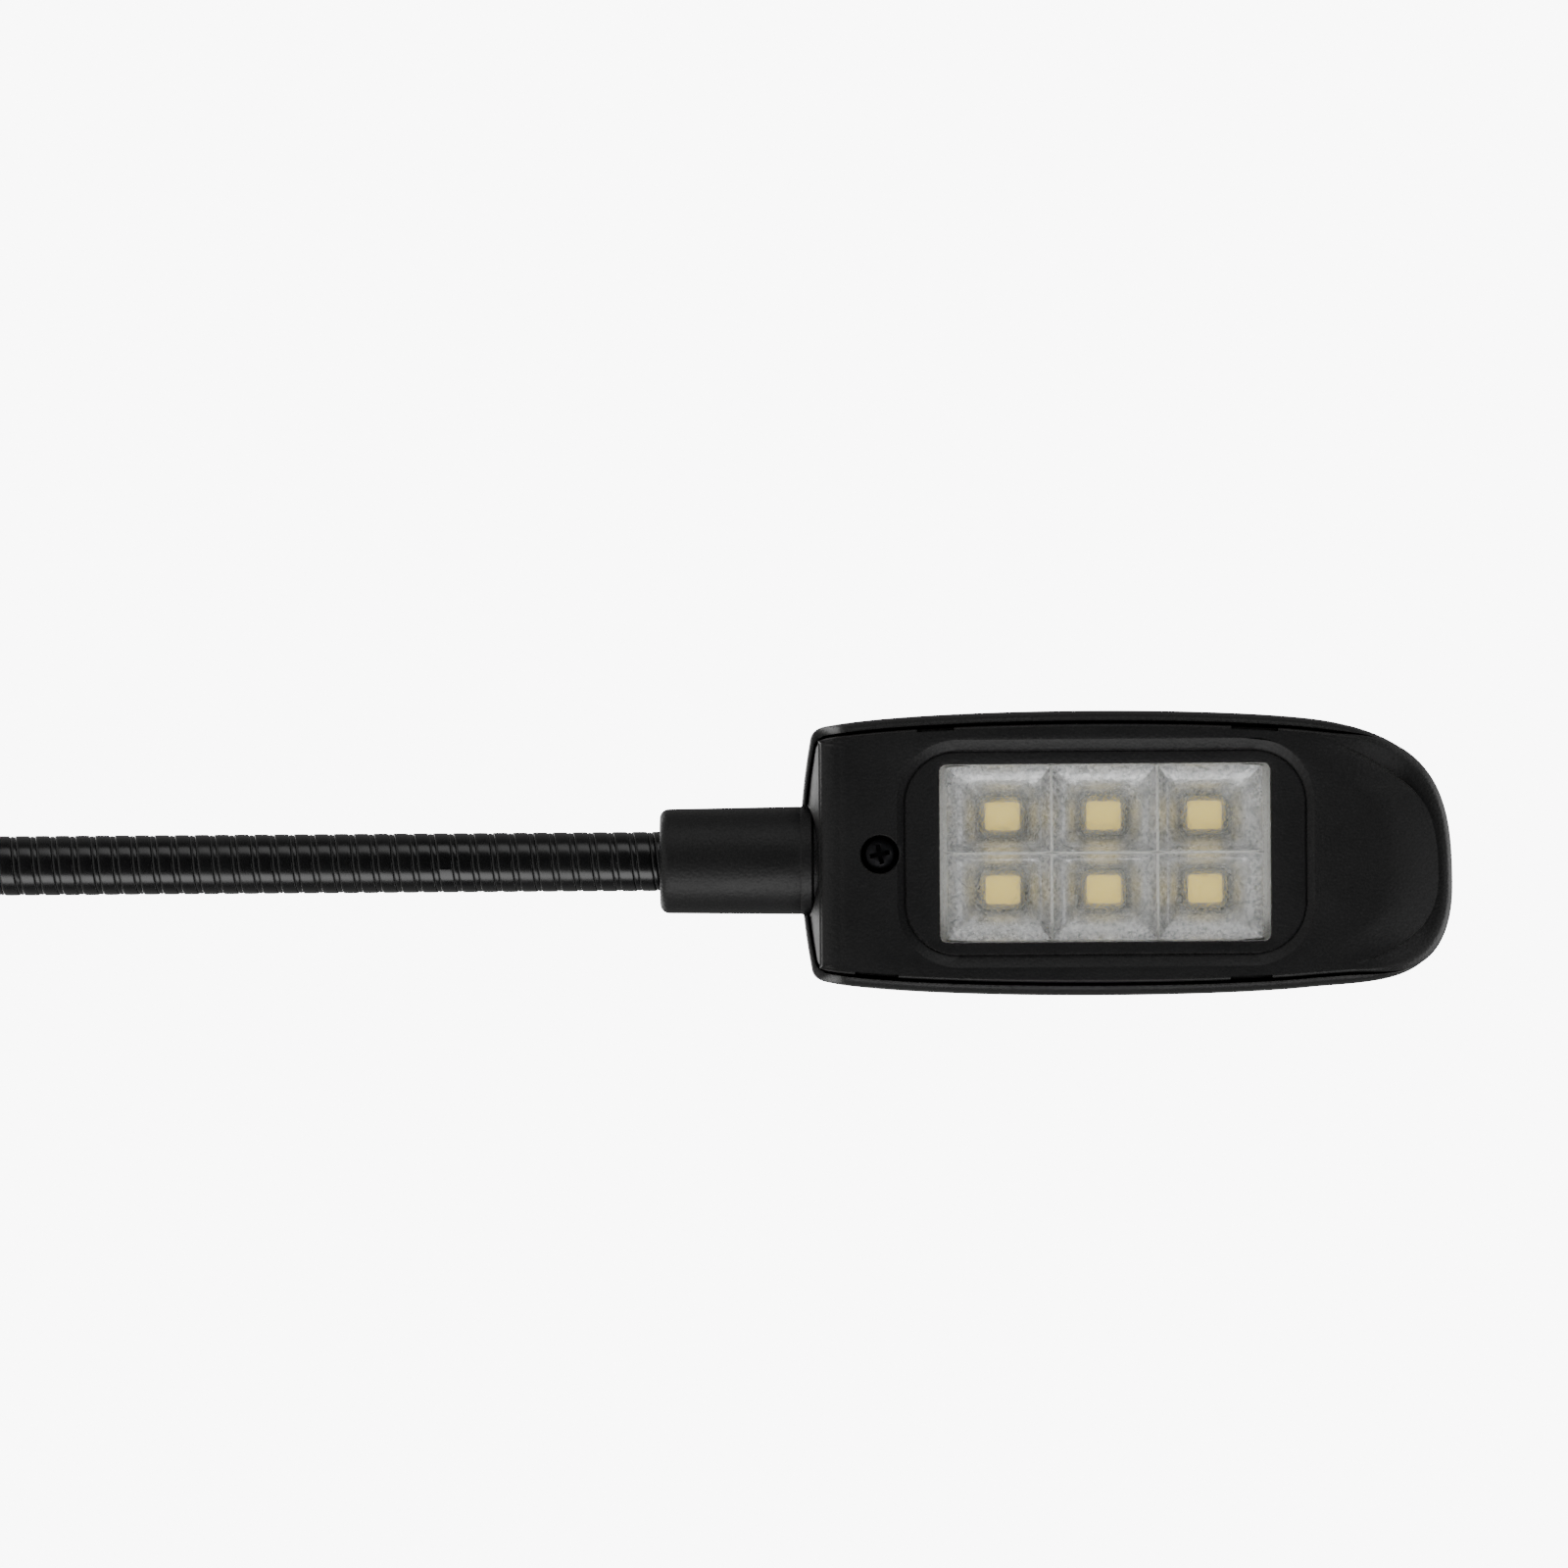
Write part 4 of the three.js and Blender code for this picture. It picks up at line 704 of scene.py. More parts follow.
def reflector():
    """Six cups in one moulding, with a frame round them. Each cup's loops run from its share of the front,
    over a thin ridge, down an outer wall to a crisp inner edge, down an inner wall that closes in on the
    light, and on to the back. Every loop is (half width, half length, corner, share of the depth, share of
    the way from the mouth's middle to the light's)."""
    low, high = (np.array(corner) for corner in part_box("reflector"))
    front, back = low[1], high[1] - 0.05 * MM
    half = (CUP_OFFSET - HAIRLINE, CUP_PITCH / 2 - HAIRLINE)
    forms = (
        (*half, 0.02, 0.0, 0.0),
        (5.02, 6.03, 0.15, 0.0, 0.0),
        (4.94, 5.94, 0.2, 0.03, 0.0),
        (4.45, 5.3, 0.35, 0.2, 0.25),
        (4.0, 4.75, 0.5, 0.34, 0.5),
        (3.92, 4.62, 0.5, 0.35, 0.52),
        (3.8, 4.5, 0.5, 0.37, 0.55),
        (3.3, 3.85, 0.6, 0.55, 0.75),
        (2.75, 3.15, 0.8, 0.8, 0.92),
        (2.4, 2.75, 0.9, 0.96, 1.0),
        (2.3, 2.6, 0.9, 1.0, 1.0),
        (*half, 0.02, 1.0, 0.0),
    )
    skin = Skin()
    for mouth, light in cup_places():
        loops = [
            ring_loop(
                x * MM, z * MM, corner * MM, mouth + (light - mouth) * way, front + (back - front) * deep
            )
            for x, z, corner, deep, way in forms
        ]
        skin.grid(np.stack(loops), wrap_rows=True)
    outside = (high - low)[[0, 2]] / 2 - 0.05 * MM
    inside = np.array([2 * CUP_OFFSET + HAIRLINE, 1.5 * CUP_PITCH + HAIRLINE]) * MM
    centre = np.array([HEAD_SCREW[0], middle("lens_panel")[2]])
    foot = front + 1 * MM
    corners = ((outside, front), (inside, front), (inside, foot), (outside, foot))
    frame_loops = [ring_loop(*size, 0.02 * MM, centre, depth) for size, depth in corners]
    skin.grid(np.stack(frame_loops), wrap_rows=True)
    return skin.piece("reflector_cups", sharp=30.0)


def whiten_ridges(piece):
    """Gives the faces at the very front of the reflector the white finish of bare plastic."""
    faces = piece.data.polygons
    places = np.empty(len(faces) * 3)
    faces.foreach_get("center", places)
    front = places[1::3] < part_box("reflector")[0][1] + 0.02 * MM
    piece.data.materials.append(MATERIALS["package"])
    faces.foreach_set("material_index", front.astype(np.int32))


def led(number):
    """A light: a white case with a chamfered top and a well, and a domed yellow fill in the well."""
    low, high = (np.array(corner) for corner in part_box(f"led_{number}"))
    centre, half = (low + high)[[0, 2]] / 2, (high - low)[[0, 2]] / 2
    case = Skin()
    forms = ((1.0, 1.0, high[1]), (1.0, 1.0, low[1] + 0.08 * MM), (0.975, 0.98, low[1]), (0.95, 0.96, low[1]))
    forms += ((0.92, 0.93, low[1] + 0.12 * MM), (0.4, 0.4, low[1] + 0.2 * MM))
    case.grid(np.stack([ring_loop(half[0] * x, half[1] * z, 0.25 * MM, centre, y, 40) for x, z, y in forms]))
    fill = Skin()
    well, corner = half * [0.93, 0.94], 0.3 * MM
    loops = [ring_loop(*well, corner, centre, low[1] + 0.3 * MM, 40)]
    for t in np.linspace(0, 1, 7)[:-1]:
        shrink = (1 - t) * 0.99
        depth = low[1] + 0.1 * MM - 0.08 * MM * (1 - shrink**2)
        loops.append(ring_loop(*(well * shrink), corner * shrink, centre, depth, 40))
    fill.grid(np.stack(loops))
    return case.piece(f"led_case_{number}"), fill.piece(f"led_fill_{number}")


def lens():
    """The clear window: a flat pane with a rounded edge that stands in the cover's window, and a flange
    behind."""
    low, high = (np.array(corner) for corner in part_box("lens_panel"))
    centre = (low + high)[[0, 2]] / 2
    half = (high - low)[[0, 2]] / 2
    pane = half - np.array([1.15, 1.25]) * MM
    step = low[1] + 1.08 * MM
    forms = [(half, high[1]), (half, step), (pane, step), (pane, low[1] + 0.3 * MM)]
    forms += [(pane - 0.05 * MM, low[1] + 0.22 * MM), (pane - 0.15 * MM, low[1] + 0.18 * MM)]
    skin = Skin()
    skin.grid(np.stack([ring_loop(x, z, 0.6 * MM, centre, depth, 96) for (x, z), depth in forms]))
    return skin.piece("window_lens")


# ---------- Neck ----------

# How far the neck goes on inside each collar, the lead's radius, and the lead's distance from a board's back
IN_COLLAR, LEAD_RADIUS, BEHIND_BOARD = 7 * MM, 1 * MM, 1.6 * MM


def wound(section, radius, bottom, top, phase):
    """A wire wound as a right-hand coil: at turn angle a, a point (out, up) of its section lies at
    ((R + out) cos a, (R + out) sin a, up + pitch a / 2 pi)."""
    neck = sizes("neck")
    turns = (top - bottom) / neck.pitch
    count = max(2, round(turns * neck.turn_steps) + 1)
    height = np.linspace(bottom, top, count)[:, None]
    angle = 2 * math.pi * (height / neck.pitch) + phase
    out, up = np.array(section).T
    reach = radius + out[None, :]
    return np.stack([
        reach * np.cos(angle) + NECK_AXIS[0],
        reach * np.sin(angle) + NECK_AXIS[1],
        height + up[None, :],
    ], -1)


def band_section():
    """The wedge wire's section: a wide, slightly crowned outer face with rounded corners, and a narrow
    root."""
    half = sizes("neck").band / 2
    right = [(0.0, 0.0), (-0.005, 0.6), (-0.015, 0.9), (-0.05, 0.98)]
    right += [(-0.12, 1.0), (-0.3, 0.82), (-0.5, 0.62), (-0.75, 0.5)]
    points = [(out * MM, up * half) for out, up in right]
    return points + [(out, -up) for out, up in points[:0:-1]]


def core_section():
    """The round wire's section."""
    turn = np.linspace(0, 2 * math.pi, 10, endpoint=False)
    return np.stack([np.cos(turn), np.sin(turn)], -1) * sizes("neck").core


def neck_radius():
    """The neck's outer radius."""
    low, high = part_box("neck_segment_1")
    return (high[0] - low[0]) / 2


def coil(name, bottom, top):
    """A stretch of the neck: the wedge wire, and the round wire half a turn behind it."""
    core = sizes("neck").core
    skin = Skin()
    skin.grid(wound(band_section(), neck_radius(), bottom, top, 0.0))
    skin.grid(wound(core_section(), neck_radius() - 0.06 * MM - core, bottom, top, math.pi))
    return skin.piece(name, sharp=60.0)


def tube(name, points, radius, sides=12, across=(0.0, 1.0, 0.0)):
    """A round tube along points: a circle in the two directions square to the path at each point. The path
    never runs along across."""
    points = np.array(points, float)
    way = np.gradient(points, axis=0)
    way /= np.linalg.norm(way, axis=1)[:, None]
    first = np.cross(way, across)
    first /= np.linalg.norm(first, axis=1)[:, None]
    second = np.cross(way, first)
    turn = np.linspace(0, 2 * math.pi, sides, endpoint=False)[None, :, None]
    ring = first[:, None] * np.cos(turn) + second[:, None] * np.sin(turn)
    skin = Skin()
    skin.grid(points[:, None] + ring * radius)
    return skin.piece(name)


def curve_through(points, steps):
    """A smooth curve through points, by the Catmull-Rom formula, with steps to each stretch."""
    points = np.array(points, float)
    padded = np.concatenate([2 * points[:1] - points[1:2], points, 2 * points[-1:] - points[-2:-1]])
    t = (np.arange(steps) / steps)[:, None]
    stretches = [
        0.5 * (2 * b + (c - a) * t + (2 * a - 5 * b + 4 * c - d) * t**2 + (3 * b - a - 3 * c + d) * t**3)
        for a, b, c, d in zip(padded, padded[1:], padded[2:], padded[3:])
    ]
    return np.concatenate(stretches + [points[-1:]])


# ---------- Base ----------


def rounded_copy(node, name, edge, sharp=30.0):
    """A copy of a CAD node with its flat faces joined and its edges rounded."""
    mesh = frame["nodes"][node].data.copy()
    mesh.materials.clear()
    work = bmesh.new()
    work.from_mesh(mesh)
    bmesh.ops.remove_doubles(work, verts=work.verts, dist=1e-6)
    bmesh.ops.dissolve_limit(work, angle_limit=math.radians(1.0), verts=work.verts, edges=work.edges)
    work.to_mesh(mesh)
    work.free()
    piece = bpy.data.objects.new(name, mesh)
    bpy.context.scene.collection.objects.link(piece)
    bevel = piece.modifiers.new("edges", "BEVEL")
    bevel.width, bevel.segments, bevel.limit_method = edge, 3, "ANGLE"
    bevel.angle_limit = math.radians(sharp)
    bevel.harden_normals = False
    return applied(piece, sharp=sharp + 5)


def ribbed_pad(name, node, facing):
    """A rubber pad with ribs across its face: its face is pushed in by a rounded wave along Z. facing is
    the side its face looks, -1 or 1 along Y."""
    low, high = (np.array(corner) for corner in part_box(node))
    centre, half = (low + high)[[0, 2]] / 2, (high - low)[[0, 2]] / 2
    face = high[1] if facing > 0 else low[1]
    root = low[1] if facing > 0 else high[1]
    pitch = sizes("base").rib_pitch
    z = np.linspace(-half[1], half[1], 200)
    corner, edge, height = 2 * MM, 0.6 * MM, 0.45 * MM
    wave = np.clip(1.6 * np.abs(np.sin(math.pi * z / pitch)), 0, 1) ** 0.5
    margin = smooth((half[1] - np.abs(z)) / edge)
    reach = np.minimum(1, np.sqrt(np.clip(1 - ((np.abs(z) - half[1] + corner).clip(0) / corner) ** 2, 0, 1)))
    width = half[0] - corner + corner * reach
    depth = height * (1 - wave) * margin
    loops = []
    for share, back in ((-1.0, 1), (-1.0, 0), (1.0, 0), (1.0, 1)):
        y = root if back else face - facing * depth
        loops.append(np.column_stack([centre[0] + share * width, y + 0 * z, centre[1] + z]))
    skin = Skin()
    skin.grid(np.stack(loops, 1))
    return skin.piece(name, sharp=40.0)


def clip_spring():
    """The clip's spring: a leg down from the case, four and a half turns round the pin and a leg up the
    lever. The coil's points are (x, y + r cos a, z + r sin a) with x and a rising evenly."""
    low, high = (np.array(corner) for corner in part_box("torsion_spring"))
    wire, radius, turns = 0.45 * MM, 2.5 * MM, 4.5
    half = (high[0] - low[0]) / 2 - wire
    pin = middle("hinge_pin")
    share = np.linspace(0, 1, 150)
    angle = math.pi * (1 + 2 * turns * share)
    windings = np.stack([
        half * (2 * share - 1),
        pin[1] + radius * np.cos(angle),
        pin[2] + radius * np.sin(angle),
    ], -1)
    top, bend = high[2] - 1.3 * wire, pin[2] + 2 * MM
    low_leg = [(-half, low[1] + 1.3 * wire, top), (-half, pin[1] - radius - 0.3 * MM, bend)]
    high_leg = [(half, pin[1] + radius + 0.3 * MM, bend), (half, high[1] - 1.3 * wire, top)]
    points = np.concatenate([
        curve_through([*low_leg, windings[0]], 6)[:-1],
        windings,
        curve_through([windings[-1], *high_leg], 6)[1:],
    ])
    return tube("clip_spring", points, wire, across=(1.0, 0.0, 0.0)), half - wire, pin


def cell(number):
    """A battery as a turned can with rounded ends, its steel nub and the name of its film."""
    low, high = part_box(f"battery_{number}")
    radius, rise = (high[0] - low[0]) / 2, 0.8 * MM
    up = -1 if number == FLIPPED_CELL else 1
    foot, top = (low[2], high[2] - rise) if up > 0 else (high[2], low[2] + rise)
    length = abs(top - foot)
    edge = quarter((radius - 0.5 * MM, 0.0), (radius, 0.5 * MM), 8, round_start=False)
    can = np.concatenate([[(NEAR_AXIS * MM, 0.0)], edge, [(radius, length / 2)]])
    can = np.concatenate([can, (can * [1, -1] + [0, length])[::-1]])
    tip = [(NEAR_AXIS, -0.05), (1.9, -0.05), (1.9, 0.5), (1.8, 0.7), (1.6, 0.8), (NEAR_AXIS, 0.8)]
    tip = np.array(tip) * MM
    centre = (*middle(f"battery_{number}")[:2], 0.0)
    body = lathe(f"cell_{number}", can[::up] * [1, up] + [0, foot], centre, steps=64)
    nub = lathe(f"cell_nub_{number}", tip[::up] * [1, up] + [0, top], centre, steps=48)
    return body, nub, "sleeve" if up > 0 else "sleeve_flipped"


def cell_spring(number):
    """A cone of wire: the radius falls and the height rises evenly along three turns."""
    low, high = (np.array(corner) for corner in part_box(f"battery_spring_{number}"))
    wire, share = 0.35 * MM, np.linspace(0, 1, 110)
    centre = middle(f"contact_plate_{number}")
    radius = (3.2 - 1.44 * share) * MM
    angle = 6 * math.pi * share
    rise = low[2] + wire + share * (high[2] - low[2] - 2 * wire)
    if number == FLIPPED_CELL:
        rise = (low + high)[2] - rise
    points = np.stack([centre[0] + radius * np.cos(angle), centre[1] + radius * np.sin(angle), rise], -1)
    return tube(f"cell_spring_{number}", points, wire, sides=10, across=(0.0, 0.0, 1.0))


def clip_pin():
    """The hinge pin, turned, with small chamfers."""
    low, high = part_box("hinge_pin")
    radius, length, edge = (high[1] - low[1]) / 2, high[0] - low[0], 0.25 * MM
    profile = [(NEAR_AXIS * MM, 0), (radius - edge, 0), (radius, edge)]
    profile += [(radius, length - edge), (radius - edge, length), (NEAR_AXIS * MM, length)]
    return lathe("clip_pin", profile, (low[0], *middle("hinge_pin")[1:]), axis="x", steps=48)


# ---------- Materials ----------


def new_material(name):
    """An empty node material with its shader and output, and its Object coordinates."""
    material = bpy.data.materials.new(name)
    material.use_nodes = True
    tree = material.node_tree
    tree.nodes.clear()
    shader = tree.nodes.new("ShaderNodeBsdfPrincipled")
    output = tree.nodes.new("ShaderNodeOutputMaterial")
    tree.links.new(shader.outputs["BSDF"], output.inputs["Surface"])
    place = tree.nodes.new("ShaderNodeTexCoord").outputs["Object"]
    return material, tree, shader, place


def add(tree, kind, settings, inputs):
    """Adds a node, sets its settings, and sets or links its inputs."""
    made = tree.nodes.new(kind)
    for key, value in settings.items():
        setattr(made, key, value)
    for key, value in inputs.items():
        if isinstance(value, bpy.types.NodeSocket):
            tree.links.new(value, made.inputs[key])
        else:
            made.inputs[key].default_value = value
    return made


def per_metre(size_mm):
    """The scale that gives a pattern of that size in millimetres."""
    return 1 / (size_mm * MM)


def grain(tree, shader, place, size_mm, height_mm, rough, spread):
    """A fine noise that raises the surface by height_mm, and patches of 9 mm that move the roughness by
    spread either way."""
    noise = add(tree, "ShaderNodeTexNoise", {}, {"Vector": place, "Scale": per_metre(size_mm), "Detail": 3.0})
    bump = add(tree, "ShaderNodeBump", {}, {
        "Height": noise.outputs["Fac"], "Strength": 1.0, "Distance": height_mm * MM,
    })
    patches = add(tree, "ShaderNodeTexNoise", {}, {"Vector": place, "Scale": per_metre(9.0), "Detail": 4.0})
    gloss = add(tree, "ShaderNodeMapRange", {}, {
        "Value": patches.outputs["Fac"], "From Min": 0.3, "From Max": 0.7,
        "To Min": rough - spread, "To Max": rough + spread,
    })
    tree.links.new(bump.outputs["Normal"], shader.inputs["Normal"])
    tree.links.new(gloss.outputs["Result"], shader.inputs["Roughness"])
    return noise


def moulded_abs(name, colour, size_mm=0.3):
    """ABS moulded in a spark-eroded tool: a fine even grain, a dull sheen and a few patches that are
    handled smoother."""
    material, tree, shader, place = new_material(name)
    shader.inputs["Base Color"].default_value = (*colour, 1)
    shader.inputs["IOR"].default_value = 1.42
    grain(tree, shader, place, size_mm, 0.07, 0.5, 0.05)
    return material


def moulded_rubber(name, colour):
    """Thermoplastic rubber moulded in a matt tool: no clear reflections, a little dust in the grain."""
    material, tree, shader, place = new_material(name)
    shader.inputs["IOR"].default_value = 1.5
    shader.inputs["Sheen Weight"].default_value = 0.15
    noise = grain(tree, shader, place, 0.35, 0.03, 0.78, 0.06)
    dust = add(tree, "ShaderNodeMix", {"data_type": "RGBA"}, {
        "Factor": noise.outputs["Fac"], "A": (*colour, 1), "B": (*[c * 1.7 for c in colour], 1),
    })
    tree.links.new(dust.outputs["Result"], shader.inputs["Base Color"])
    return material


def coated_wire(colour):
    """Steel wire with a black baked coating: glossy, with a faint unevenness of the coat."""
    material, tree, shader, place = new_material("black_coated_wire")
    shader.inputs["Base Color"].default_value = (*colour, 1)
    shader.inputs["IOR"].default_value = 1.5
    grain(tree, shader, place, 1.2, 0.004, 0.26, 0.04)
    return material


def frosted_acrylic():
    """Clear acrylic, spark-grained behind: it scatters what lies behind it a little and glints in small
    grains."""
    material, tree, shader, place = new_material("grained_clear_acrylic")
    shader.inputs["Base Color"].default_value = (0.97, 0.975, 0.97, 1)
    shader.inputs["IOR"].default_value = 1.49
    shader.inputs["Transmission Weight"].default_value = 1.0
    shader.inputs["Alpha"].default_value = 0.5
    noise = grain(tree, shader, place, 0.28, 0.2, 0.08, 0.02)
    grains = add(tree, "ShaderNodeMapRange", {}, {
        "Value": noise.outputs["Fac"], "From Min": 0.4, "From Max": 0.6, "To Min": 0.0, "To Max": 0.62,
    })
    tree.links.new(grains.outputs["Result"], shader.inputs["Alpha"])
    return material


def metallised_plastic():
    """Plastic with a vacuum metallised coat over a grained moulding: bright and speckled."""
    material, tree, shader, place = new_material("vacuum_metallised_plastic")
    shader.inputs["Metallic"].default_value = 0.65
    noise = grain(tree, shader, place, 0.42, 0.12, 0.26, 0.06)
    even = add(tree, "ShaderNodeMapRange", {}, {
        "Value": noise.outputs["Fac"], "From Min": 0.38, "From Max": 0.62,
    })
    mottle = add(tree, "ShaderNodeMix", {"data_type": "RGBA"}, {
        "Factor": even.outputs["Result"], "A": (*linear("b4b6b7"), 1), "B": (*linear("ffffff"), 1),
    })
    tree.links.new(mottle.outputs["Result"], shader.inputs["Base Color"])
    return material


def phosphor_silicone():
    """Silicone filled with yellow phosphor powder: matt, slightly mottled. A faint fixed yellow glow is
    painted in, though the light is off. It stands for the little room light that the powder turns yellow and
    for light that the cup walls shade off."""
    material, tree, shader, place = new_material("yellow_phosphor_silicone")
    # Painted glow: a fixed yellow emission that brightens the fill whatever the lighting
    shader.inputs["Emission Color"].default_value = (*linear("ffdf78"), 1)
    shader.inputs["Emission Strength"].default_value = 0.6
    shader.inputs["IOR"].default_value = 1.41
    noise = grain(tree, shader, place, 0.25, 0.01, 0.45, 0.05)
    mottle = add(tree, "ShaderNodeMix", {"data_type": "RGBA"}, {
        "Factor": noise.outputs["Fac"], "A": (*linear("ffe680"), 1), "B": (*linear("fff2a8"), 1),
    })
    tree.links.new(mottle.outputs["Result"], shader.inputs["Base Color"])
    return material


def white_package():
    """White filled nylon of a light's case: bright and slightly glossy."""
    material, tree, shader, place = new_material("white_moulded_nylon")
    shader.inputs["Base Color"].default_value = (*linear("f1f1ec"), 1)
    grain(tree, shader, place, 0.3, 0.005, 0.4, 0.05)
    return material


def board_laminate():
    """Glass laminate under solder mask: satin, with the weave of the glass just raised."""
    material, tree, shader, place = new_material("solder_masked_laminate")
    shader.inputs["Base Color"].default_value = (*linear("e9ebe6"), 1)
    grain(tree, shader, place, 0.5, 0.008, 0.42, 0.05)
    return material


def plated_steel():
    """Nickel plated steel strip and wire: bright metal with a drawn, slightly cloudy surface."""
    material, tree, shader, place = new_material("nickel_plated_steel")
    shader.inputs["Base Color"].default_value = (*linear("c3c1bb"), 1)
    shader.inputs["Metallic"].default_value = 1.0
    grain(tree, shader, place, 0.6, 0.004, 0.3, 0.08)
    return material


def black_oxide():
    """Steel with a black oxide finish: dark metal, a bit oily."""
    material, tree, shader, place = new_material("black_oxide_steel")
    shader.inputs["Base Color"].default_value = (*linear("2a2a2c"), 1)
    shader.inputs["Metallic"].default_value = 1.0
    grain(tree, shader, place, 0.4, 0.004, 0.38, 0.08)
    return material


def turned_brass():
    """Brass turned on a lathe: fine rings round the piece."""
    material, tree, shader, place = new_material("turned_brass")
    shader.inputs["Base Color"].default_value = (*linear("c9a558"), 1)
    shader.inputs["Metallic"].default_value = 1.0
    rings = add(tree, "ShaderNodeTexWave", {"bands_direction": "Z"}, {
        "Vector": place, "Scale": per_metre(1.2), "Distortion": 0.4,
    })
    bump = add(tree, "ShaderNodeBump", {}, {
        "Height": rings.outputs["Fac"], "Strength": 0.4, "Distance": 0.01 * MM,
    })
    tree.links.new(bump.outputs["Normal"], shader.inputs["Normal"])
    shader.inputs["Roughness"].default_value = 0.28
    return material


def battery_sleeve(name, side, height_mm):
    """Printed film shrunk on a cell: glossy green with a plain copper band at the nub end, past a height."""
    material, tree, shader, place = new_material(name)
    shader.inputs["Coat Weight"].default_value = 0.6
    shader.inputs["Coat Roughness"].default_value = 0.12
    split = add(tree, "ShaderNodeSeparateXYZ", {}, {"Vector": place})
    band = add(tree, "ShaderNodeMath", {"operation": side}, {0: split.outputs["Z"], 1: height_mm * MM})
    colour = add(tree, "ShaderNodeMix", {"data_type": "RGBA"}, {
        "Factor": band.outputs["Value"], "A": (*linear("20392c"), 1), "B": (*linear("a8703c"), 1),
    })
    tree.links.new(colour.outputs["Result"], shader.inputs["Base Color"])
    grain(tree, shader, place, 1.5, 0.006, 0.3, 0.05)
    return material


MATERIALS = {}


def make_materials():
    """All finishes, by the lamp's own names."""
    plastic = tuple(sizes("head").plastic)
    rubber = tuple(sizes("base").rubber)
    MATERIALS.update(
        shell=moulded_abs("grained_black_abs", plastic),
        collar=moulded_abs("grained_black_abs_collar", plastic, size_mm=0.35),
        rubber=moulded_rubber("ribbed_black_rubber", rubber),
        wire=coated_wire(tuple(sizes("neck").wire)),
        lens=frosted_acrylic(),
        mirror=metallised_plastic(),
        phosphor=phosphor_silicone(),
        package=white_package(),
        board=board_laminate(),
        steel=plated_steel(),
        screw=black_oxide(),
        brass=turned_brass(),
        sleeve=battery_sleeve("shrunk_battery_film", "GREATER_THAN", 24),
        sleeve_flipped=battery_sleeve("shrunk_battery_film_flipped", "LESS_THAN", 0),
        lead=moulded_rubber("pvc_lead_sleeve", linear("1a1a1b")),
    )


def coat(piece, finish):
    """Gives a piece, or a CAD node by name, one finish."""
    target = frame["nodes"][piece] if isinstance(piece, str) else piece
    target.data.materials.clear()
    target.data.materials.append(MATERIALS[finish])
    return target


def mount(piece, body, finish, slot, *nodes):
    """Coats a piece, lets it ride on a body, and lets it stand for CAD nodes."""
    coat(piece, finish)
    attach(piece, body)
    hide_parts(*nodes)
    return piece


def mount_between(piece, bodies, start, end, finish, slot, *nodes):
    """Coats a piece that runs from one body to another, lets it stand for CAD nodes and bakes its place into
    its mesh.
    """
    coat(piece, finish)
    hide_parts(*nodes)
    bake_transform(piece)


# ---------- Operators ----------


class LAMP_OT_materials(bpy.types.Operator):
    """Makes all finishes"""

    bl_idname = "lamp.materials"
    bl_label = "Materials"

    def execute(self, context):
        make_materials()
        return {"FINISHED"}


class LAMP_OT_head(bpy.types.Operator):
    """Builds the head's front cover and back shell"""

    bl_idname = "lamp.head"
    bl_label = "Head"

    def execute(self, context):
        mount(front_cover(), "head", "shell", "black_plastic", "head_front_cover")
        mount(back_shell(), "head", "shell", "black_plastic", "head_back_shell")
        return {"FINISHED"}


class LAMP_OT_collars(bpy.types.Operator):
    """Builds the sleeves at both ends of the neck"""

    bl_idname = "lamp.collars"
    bl_label = "Collars"

    def execute(self, context):
        head = lathe("head_sleeve", collar_profile(True), (*NECK_AXIS, HEAD_COLLAR_LOW), steps=128)
        mount(head, "head", "collar", "black_plastic", "head_collar")
        base = lathe("base_sleeve", collar_profile(False), (*NECK_AXIS, BASE_COLLAR_LOW), steps=128)
        mount(base, "base", "collar", "black_plastic", "base_collar")
        return {"FINISHED"}


class LAMP_OT_screws(bpy.types.Operator):
    """Builds the head screw and the four housing screws"""

    bl_idname = "lamp.screws"
    bl_label = "Screws"

    def execute(self, context):
        seat = (HEAD_SCREW[0], FACE_Y + 1.95 * MM, HEAD_SCREW[2])
        screw = cross_screw("head_cross_screw", seat, 2.0 * MM, 1.0 * MM, math.radians(12), -1)
        mount(screw, "head", "screw", "black_screw", "head_screw")
        for number in range(1, 5):
            node = f"housing_screw_{number}"
            centre = middle(node)
            seat = (centre[0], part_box(node)[1][1] - 1.3 * MM, centre[2])
            screw = cross_screw(f"base_cross_screw_{number}", seat, 1.75 * MM, 1.0 * MM, number * 0.7, 1)
            mount(screw, "base", "screw", "black_screw", node)
        return {"FINISHED"}


class LAMP_OT_light(bpy.types.Operator):
    """Builds the lens, the reflector and the six lights"""

    bl_idname = "lamp.light"
    bl_label = "Light"

    def execute(self, context):
        mount(lens(), "head", "lens", "clear_lens", "lens_panel")
        cups = mount(reflector(), "head", "mirror", "mirror_coat", "reflector")
        whiten_ridges(cups)
        for number in range(1, 7):
            case, fill = led(number)
            mount(case, "head", "package", "phosphor", f"led_{number}")
            mount(fill, "head", "phosphor", "phosphor", f"led_{number}")
        coat("led_board", "board")
        return {"FINISHED"}


